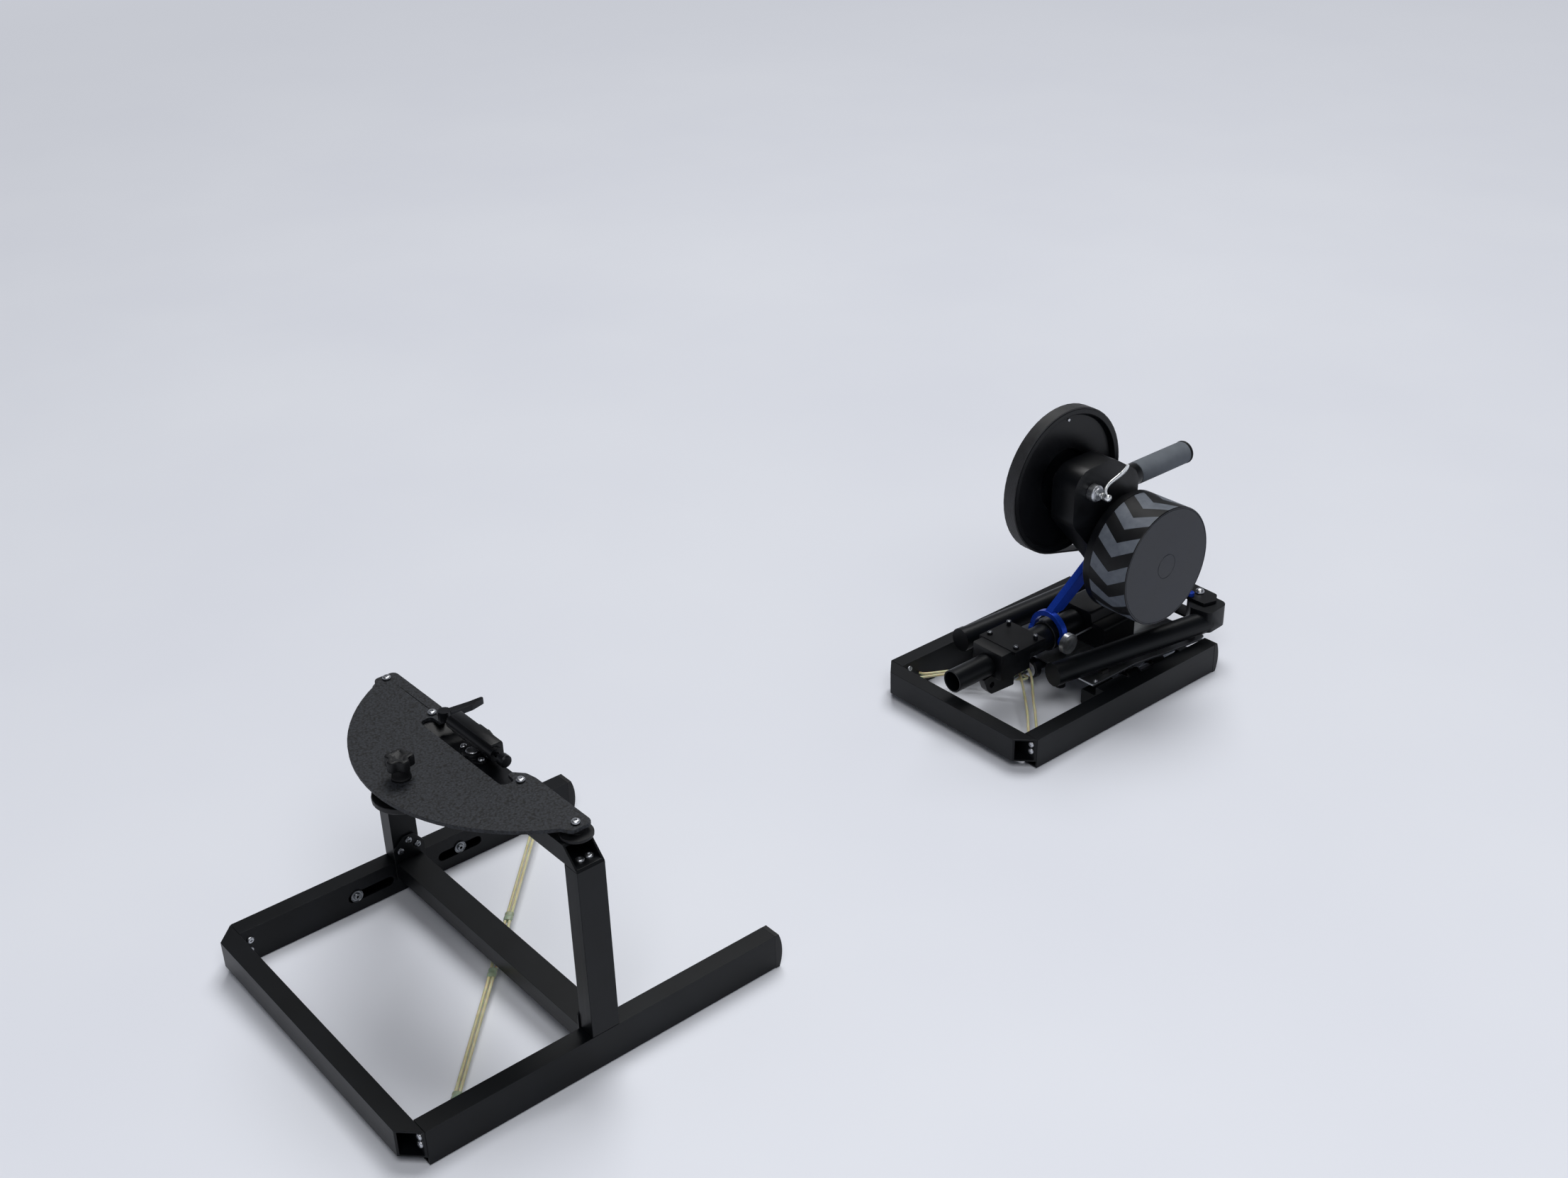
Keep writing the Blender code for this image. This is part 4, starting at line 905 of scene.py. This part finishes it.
# %% Skewer with its seat and its nut
skewer = [(-83.6, 0), (-83.6, 4.4), (-83.0, 6), (-81.8, 7.6), (-80.6, 8.2), (-75, 9.0), (-72.6, 9.0),
          (-72, 8.4), (-72, 2.5), (70.5, 2.5), (70.5, 4.9), (71.0, 5.4), (73.1, 5.4), (73.6, 4.9), (73.6, 0)]
turned_skewer = lathe("hub_skewer_turned", skewer, hub_centre, "X", 48)
done(turned_skewer, CHROME, "head", ["hub_skewer"])

# %% [markdown]
# ## Latex cords
#
# Cords of latex tube pull both stations back to the middle. They are held taut between their anchors, so
# each route is straight runs and one turn. The tube is a curve with a round section, because a tube keeps
# its diameter round a bend. The front loop parts round a peg under the mid rail.

# %% A tube along its route
TUBE_RADIUS = 2.1 * MM


def latex_tube(name, knots, kind):
    """A tube along the knots: straight between them for POLY, smooth through them for BEZIER."""
    curve = bpy.data.curves.new(name, "CURVE")
    curve.dimensions = "3D"
    curve.bevel_depth = TUBE_RADIUS
    curve.bevel_resolution = 5
    curve.resolution_u = 10
    curve.use_fill_caps = True
    spline = curve.splines.new(kind)
    if kind == "BEZIER":
        spline.bezier_points.add(len(knots) - 1)
        for point, knot in zip(spline.bezier_points, knots):
            point.co = knot
            point.handle_left_type = point.handle_right_type = "AUTO"
    else:
        spline.points.add(len(knots) - 1)
        for point, knot in zip(spline.points, knots):
            point.co = (*knot, 1.0)
    obj = bpy.data.objects.new(name, curve)
    bpy.context.collection.objects.link(obj)
    pick(obj)
    bpy.ops.object.convert(target="MESH")
    return bpy.context.object


print("tube of", 2 * TUBE_RADIUS / MM, "mm")

# %% [markdown]
# The front loop runs out along a line, turns half round and comes back beside itself. Its points are counted
# as shares of that line, so the parting round the peg is a few numbers: where it lies, and how wide it is.

# %% The front loop
low = front(-205.4, 440, 22)
high = front(212.5, 42.6, 10)
run = (high - low).normalized()
across = Vector((run.y, -run.x, 0)).normalized()
strand = 2.6 * MM               # from the loop's middle to each of its runs
beside = across * strand
# Shares of the way where the runs stand further apart, and how many times further.
PARTING = ((0.37, 1.0), (0.40, 1.3), (0.43, 2.0), (0.46, 2.25), (0.49, 2.0), (0.52, 1.3), (0.54, 1.0))
there = [low.lerp(high, share) + beside * spread for share, spread in PARTING]
homeward = [low.lerp(high, share) - beside * spread for share, spread in reversed(PARTING)]
turn_angles = [math.radians(15 * k) for k in range(13)]
far_turn = [high + beside * math.cos(angle) + run * strand * math.sin(angle) for angle in turn_angles]
out = [front(-215.9, 436, 22), low + beside] + there
home = homeward + [low - beside, front(-215.9, 446, 22)]
loop = latex_tube("front_latex_tube", out + far_turn + home, "POLY")
done(loop, LATEX, "front_base", ["front_latex_cord"], angle=60)

# %% [markdown]
# Green sleeves hold the two runs together. Each is a cylinder that is extruded six times into thick and
# thin bands, and then pressed flat to fit round the two runs.

# %% Sleeves on the front loop
sleeves = []
for share in (0.36, 0.55, 0.92):
    rest()
    bpy.ops.mesh.primitive_cylinder_add(vertices=32, radius=6.0 * MM, depth=4.0 * MM,
                                        location=(0, 0, -4.2 * MM))
    sleeve = named("cord_sleeve")
    for step, size in ((0.4, 0.93), (3.8, 1.0), (0.4, 1.075), (3.8, 1.0), (0.4, 0.93), (3.6, 1.0)):
        choose("FACE", lambda f: f.normal.z > 0.9)
        bpy.ops.mesh.extrude_region_move(TRANSFORM_OT_translate={"value": (0, 0, step * MM)})
        bpy.ops.transform.resize(value=(size, size, 1), center_override=(0, 0, 0))
    bpy.ops.mesh.select_all(action="SELECT")
    bpy.ops.transform.resize(value=(1, 0.56, 1), center_override=(0, 0, 0))
    choose("FACE", lambda f: abs(f.normal.z) > 0.9)
    bpy.ops.mesh.bevel(offset=0.8 * MM, segments=3, affect="EDGES")
    settled(sleeve)
    laid = Matrix((across, run.cross(across), run)).transposed().to_4x4()
    sleeve.data.transform(Matrix.Translation(low.lerp(high, share)) @ laid)
    sleeves.append(sleeve)
done(merged("cord_sleeves", sleeves), COUPLER, "front_base", ["front_latex_cord"], angle=40)

# %% [markdown]
# Each rear cord starts at the frame, goes round the tilt shaft and comes back. The carriage slides, so the
# tube can't follow one body, and it is left on none.

# %% The rear cords
for word, side in SIDES.items():
    over = 8.4 * side           # one cord passes over the shaft and the other under it
    turn_x = -6 - 10 * side
    turn_z = 38 + over * 0.7
    knots = [(side * 129.1, 18, 25), (side * 123.1, 20, 25.4), (-6 + side * 70, 76, 31), (-6, 130, 38 + over),
             (turn_x, 135, turn_z), (turn_x, 141, turn_z), (-6, 146, 38 + over), (-6 + side * 70, 92, 31),
             (side * 123.1, 38, 25.4), (side * 129.1, 36, 25)]
    tube = latex_tube("rear_latex_tube_" + word, [rear(*knot) for knot in knots], "BEZIER")
    done(tube, LATEX, None, ["rear_latex_cord_" + word], angle=60)
    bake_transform(tube)

# %% [markdown]
# ## Domed caps of the side rails
#
# Each side rail ends in a nylon cap, with a fine seam between rail and cap and an end that bulges in the
# middle of its height. A box is cut into rows, and the rows are pushed out by an arc. A flat foot goes with
# each cap.

# %% Caps with a seam and a bulge
RAIL_WIDTH = 25.4
RAIL_HEIGHT = 50.8
CAP_DEPTH = 6.4
CAP_ROWS = 14
BULGE = 5.0
for word, side in SIDES.items():
    for station, place, half, length in (("front", front, 243.1, 503), ("rear", rear, 156.0, 408)):
        x = side * (half - RAIL_WIDTH / 2)
        middle = place(x, length + 3.5, RAIL_HEIGHT / 2)
        cap = block(middle, (RAIL_WIDTH, CAP_DEPTH, RAIL_HEIGHT))
        named("rail_cap")
        bpy.ops.mesh.select_all(action="SELECT")
        bpy.ops.mesh.subdivide(number_cuts=CAP_ROWS - 1)
        for row in range(CAP_ROWS + 1):
            rise = row / CAP_ROWS * 2 - 1
            row_z = middle.z + rise * RAIL_HEIGHT / 2 * MM
            choose("VERT", lambda v: v.co.y > middle.y + 3 * MM and abs(v.co.z - row_z) < 0.2 * MM)
            bpy.ops.transform.translate(value=(0, BULGE * MM * (1 - rise ** 2), 0))
        bpy.ops.object.mode_set(mode="OBJECT")
        rounded(cap, 0.9, 3, angle=50)
        foot = block(place(x, length - 18.8, 2.0), (19.4, 41.8, 4.0))
        rounded(foot, 1.2, 3)
        done(merged(station + "_cap_domed_" + word, [cap, foot]), MOULDED, station + "_base",
             [station + "_rail_cap_" + word], angle=35)

# %% [markdown]
# ## Small fittings
#
# A few small things tell how the mechanism works: the bearing's bright ring on the tilt shaft, a stop rod
# in front of the saddle, a rubber stop on the tray, a blue spacer on the rear bracket, and the domed bolts
# of the legs. Each starts as a box or a turned section and gets round edges.

# %% Bearing ring, stop rod, rubber stop, blue spacer and leg bolts
ring = [(153.6, 6.2), (153.6, 12.4), (154.0, 12.8), (155.1, 12.8), (155.1, 6.2), (153.6, 6.2)]
done(lathe("tilt_bearing_ring", ring, rear(-6, 0, 38), "Y", 48), STAINLESS, "carriage_body")
rod = [(226, 0), (226, 1.0), (226.5, 1.5), (262.5, 1.5), (262.5, 0)]
done(lathe("stop_rod", rod, rear(25, 0, 84), "Y", 20), STAINLESS, "rocker")
stop = block(rear(93.5, 215, 54.3), (11, 14, 6))
stop.name = "tray_rubber_stop"
rounded(stop, 1.4, 4)
done(stop, RUBBER, "rocker", angle=40)
spacer = [(105.2, 0), (105.2, 5.4), (105.6, 5.9), (110.9, 5.9), (111.3, 5.5), (111.3, 3.4), (110.7, 3.2),
          (110.7, 0)]
done(lathe("blue_spacer", spacer, rear(87, 427, 0), "Z", 32), BLUE, "rocker")
dome = [(0, 0), (0, 7.3), (0.5, 7.6), (1.4, 7.6), (2.8, 7.2), (4.2, 6.3), (5.4, 5.0), (6.3, 3.4), (6.8, 1.7),
        (7.0, 0)]
bolts = [lathe("leg_bolt", dome, rear(s * 90, 446, 105.2), "Z", 48) for s in BOTH]
done(merged("leg_bolts", bolts), STAINLESS, "rocker", angle=50)

# %% [markdown]
# ## Dressing the CAD nodes
#
# The CAD solids have razor edges and loose triangles. Real edges are always a little round and catch a
# thin line of light, which tells the eye that the thing is real. Three live modifiers do it without a
# change to the CAD mesh: Weld joins the triangles, Decimate melts flat ones together, and Bevel rounds
# what is left. A live stack is better here than new meshes, because the shapes stay those of the CAD.

# %% Finishes and edges of the CAD nodes
RUNS = {
    "X": ["front_cross_rail", "front_mid_rail", "rear_cross_front", "rear_cross_back", "top_beam"],
    "Y": ["front_rail_left", "front_rail_right", "rear_rail_left", "rear_rail_right", "spine_tube",
          "leg_left", "leg_right", "guide_block_left", "guide_block_right", "gusset_left", "gusset_right"],
    "Z": ["upright_left", "upright_right"],
}
OTHERS = (
    (POWDER, ["steer_plate"]),
    (PAINTED, ["head_casting", "rear_bracket", "clamp_block", "spine_saddle", "carriage", "height_collar",
               "fork_cradle", "steer_channel", "pivot_flange", "drive_pulley", "lock_arm"]),
    (MOULDED, ["front_rail_cap_left", "front_rail_cap_right", "rear_rail_cap_left", "rear_rail_cap_right",
               "plate_post_left", "plate_post_right", "lock_puck", "star_knob"]),
    (OXIDE, ["fork_skewer", "fork_lever"]),
    (STAINLESS, ["pivot_bolt", "hub_axle", "drive_pinion"]),
    (NICKEL, ["cassette"]),
    (BARE_ROD, ["guide_rod_left", "guide_rod_right", "tilt_shaft"]),
    (POLISHED, ["tray"]),
    (CHROME, ["height_knob", "hub_skewer", "hub_lever"]),
    (BLUE, ["height_yoke"]),
    (FOAM, ["handle_grip"]),
    (BELT, ["drive_belt"]),
    (SLATE, ["flywheel"]),
    (LATEX, ["front_latex_cord", "rear_latex_cord_left", "rear_latex_cord_right"]),
)
finish_of = {name: ANODISED[run] for run, names in RUNS.items() for name in names}
for finish, names in OTHERS:
    finish_of.update(dict.fromkeys(names, finish))
EDGES = {"steer_plate": 0.5, "tray": 0.4, "head_casting": 1.6, "height_yoke": 0.8, "drive_belt": 0.5}
OTHER_EDGE = 0.6
for name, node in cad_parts.items():
    node.material_slots[0].material = finish_of[name]
    pick(node)
    bpy.ops.mesh.customdata_custom_splitnormals_clear()
    bpy.ops.object.shade_smooth()
    weld = node.modifiers.new("weld", "WELD")
    weld.merge_threshold = SAME_PLACE
    melt = node.modifiers.new("melt", "DECIMATE")
    melt.decimate_type = "DISSOLVE"
    melt.angle_limit = math.radians(1.0)
    edge = node.modifiers.new("edge", "BEVEL")
    edge.width = EDGES.get(name, OTHER_EDGE) * MM
    edge.segments = 2
    edge.angle_limit = math.radians(35)
    edge.harden_normals = True
print("dressed", len(finish_of), "CAD nodes")

# %% [markdown]
# ## Stage
#
# A wide floor in the pale blue-white of the studio cloth. It is a little paler to the camera than it is for
# the light that it throws back. Far away it fades into the colour of the horizon, so that no line shows in
# low views. The fade is a glow that only the camera and reflections see, so it lights nothing.

# %% Floor
HORIZON = "#dcdfe8"
ROOM_LIGHT = 0.8
FADE_START = 2.5            # metres from the middle of the floor
FADE_END = 7.5


def cloth_floor():
    """Matt pale floor with barely visible clouds, which runs into the horizon far away."""
    finish, shader, place = surface("pale_studio_floor", Roughness=0.9, IOR=1.3)
    cloud = noise(finish, place, 1.2, 3.0)
    throwing = ramp(finish, cloud, 0.25, 0.8, "#c9ccd6", "#d2d5dd")
    shown = ramp(finish, cloud, 0.25, 0.8, "#e9ecf5", "#f0f3fa")
    path = add(finish, "ShaderNodeLightPath").outputs
    direct = maths(finish, "MAXIMUM", path["Is Camera Ray"], path["Is Glossy Ray"])
    seen = maths(finish, "MAXIMUM", direct, path["Is Transmission Ray"])
    tint = add(finish, "ShaderNodeMix", {"Factor": seen, "A": throwing, "B": shown}, data_type="RGBA")
    to_shader(finish, shader, Base_Color=tint.outputs["Result"])
    away = add(finish, "ShaderNodeVectorMath", {0: place}, operation="LENGTH").outputs["Value"]
    far = add(finish, "ShaderNodeMapRange", {"Value": away, "From Min": FADE_START, "From Max": FADE_END})
    share = maths(finish, "MULTIPLY", far.outputs["Result"], seen)
    haze = add(finish, "ShaderNodeEmission", {"Color": tone(HORIZON), "Strength": ROOM_LIGHT})
    sockets = {0: share, 1: shader.outputs["BSDF"], 2: haze.outputs["Emission"]}
    faded = add(finish, "ShaderNodeMixShader", sockets)
    output = finish.node_tree.nodes["Material Output"]
    finish.node_tree.links.new(faded.outputs["Shader"], output.inputs["Surface"])
    return finish


rest()
bpy.ops.mesh.primitive_plane_add(size=40.0, location=(0, 0, 0))
floor = bpy.context.object
floor.name = "studio_floor"
floor.data.materials.append(cloth_floor())
print("floor:", floor.name)

# %% [markdown]
# The world has the floor's far colour at the horizon. Overhead it is dark like the ceiling of a studio, so
# that black metal reflects little and stays black.

# %% World
world = bpy.data.worlds.new("pale_room")
world.use_nodes = True
direction = add(world, "ShaderNodeTexCoord").outputs["Generated"]
height = add(world, "ShaderNodeSeparateXYZ", {"Vector": direction}).outputs["Z"]
room = ramp(world, height, 0.1, 0.42, HORIZON, "#303238")
background = world.node_tree.nodes["Background"]
world.node_tree.links.new(room, background.inputs["Color"])
background.inputs["Strength"].default_value = ROOM_LIGHT
bpy.context.scene.world = world
print("world:", world.name)

# %% [markdown]
# One large soft lamp hangs high above and behind the trainer, seen from the camera. A weaker one hangs on
# the camera's side and lifts the faces that look towards it.

# %% Lamps
def lamp(name, place, target, size, power):
    """A square area lamp that looks at a point."""
    light = bpy.data.lights.new(name, "AREA")
    light.shape = "SQUARE"
    light.size = size
    light.energy = power
    obj = bpy.data.objects.new(name, light)
    bpy.context.collection.objects.link(obj)
    obj.location = place
    obj.rotation_euler = (Vector(target) - Vector(place)).to_track_quat("-Z", "Y").to_euler()
    print(name, "at", place)


lamp("key_lamp", (-3.2, 4.6, 12.5), (0, 0, 0.1), 7.5, 1200.0)
lamp("camera_side_lamp", (2.6, -1.7, 4.4), (1.3, -1.0, 0.0), 3.0, 98.0)
bpy.context.scene.view_settings.view_transform = "Standard"
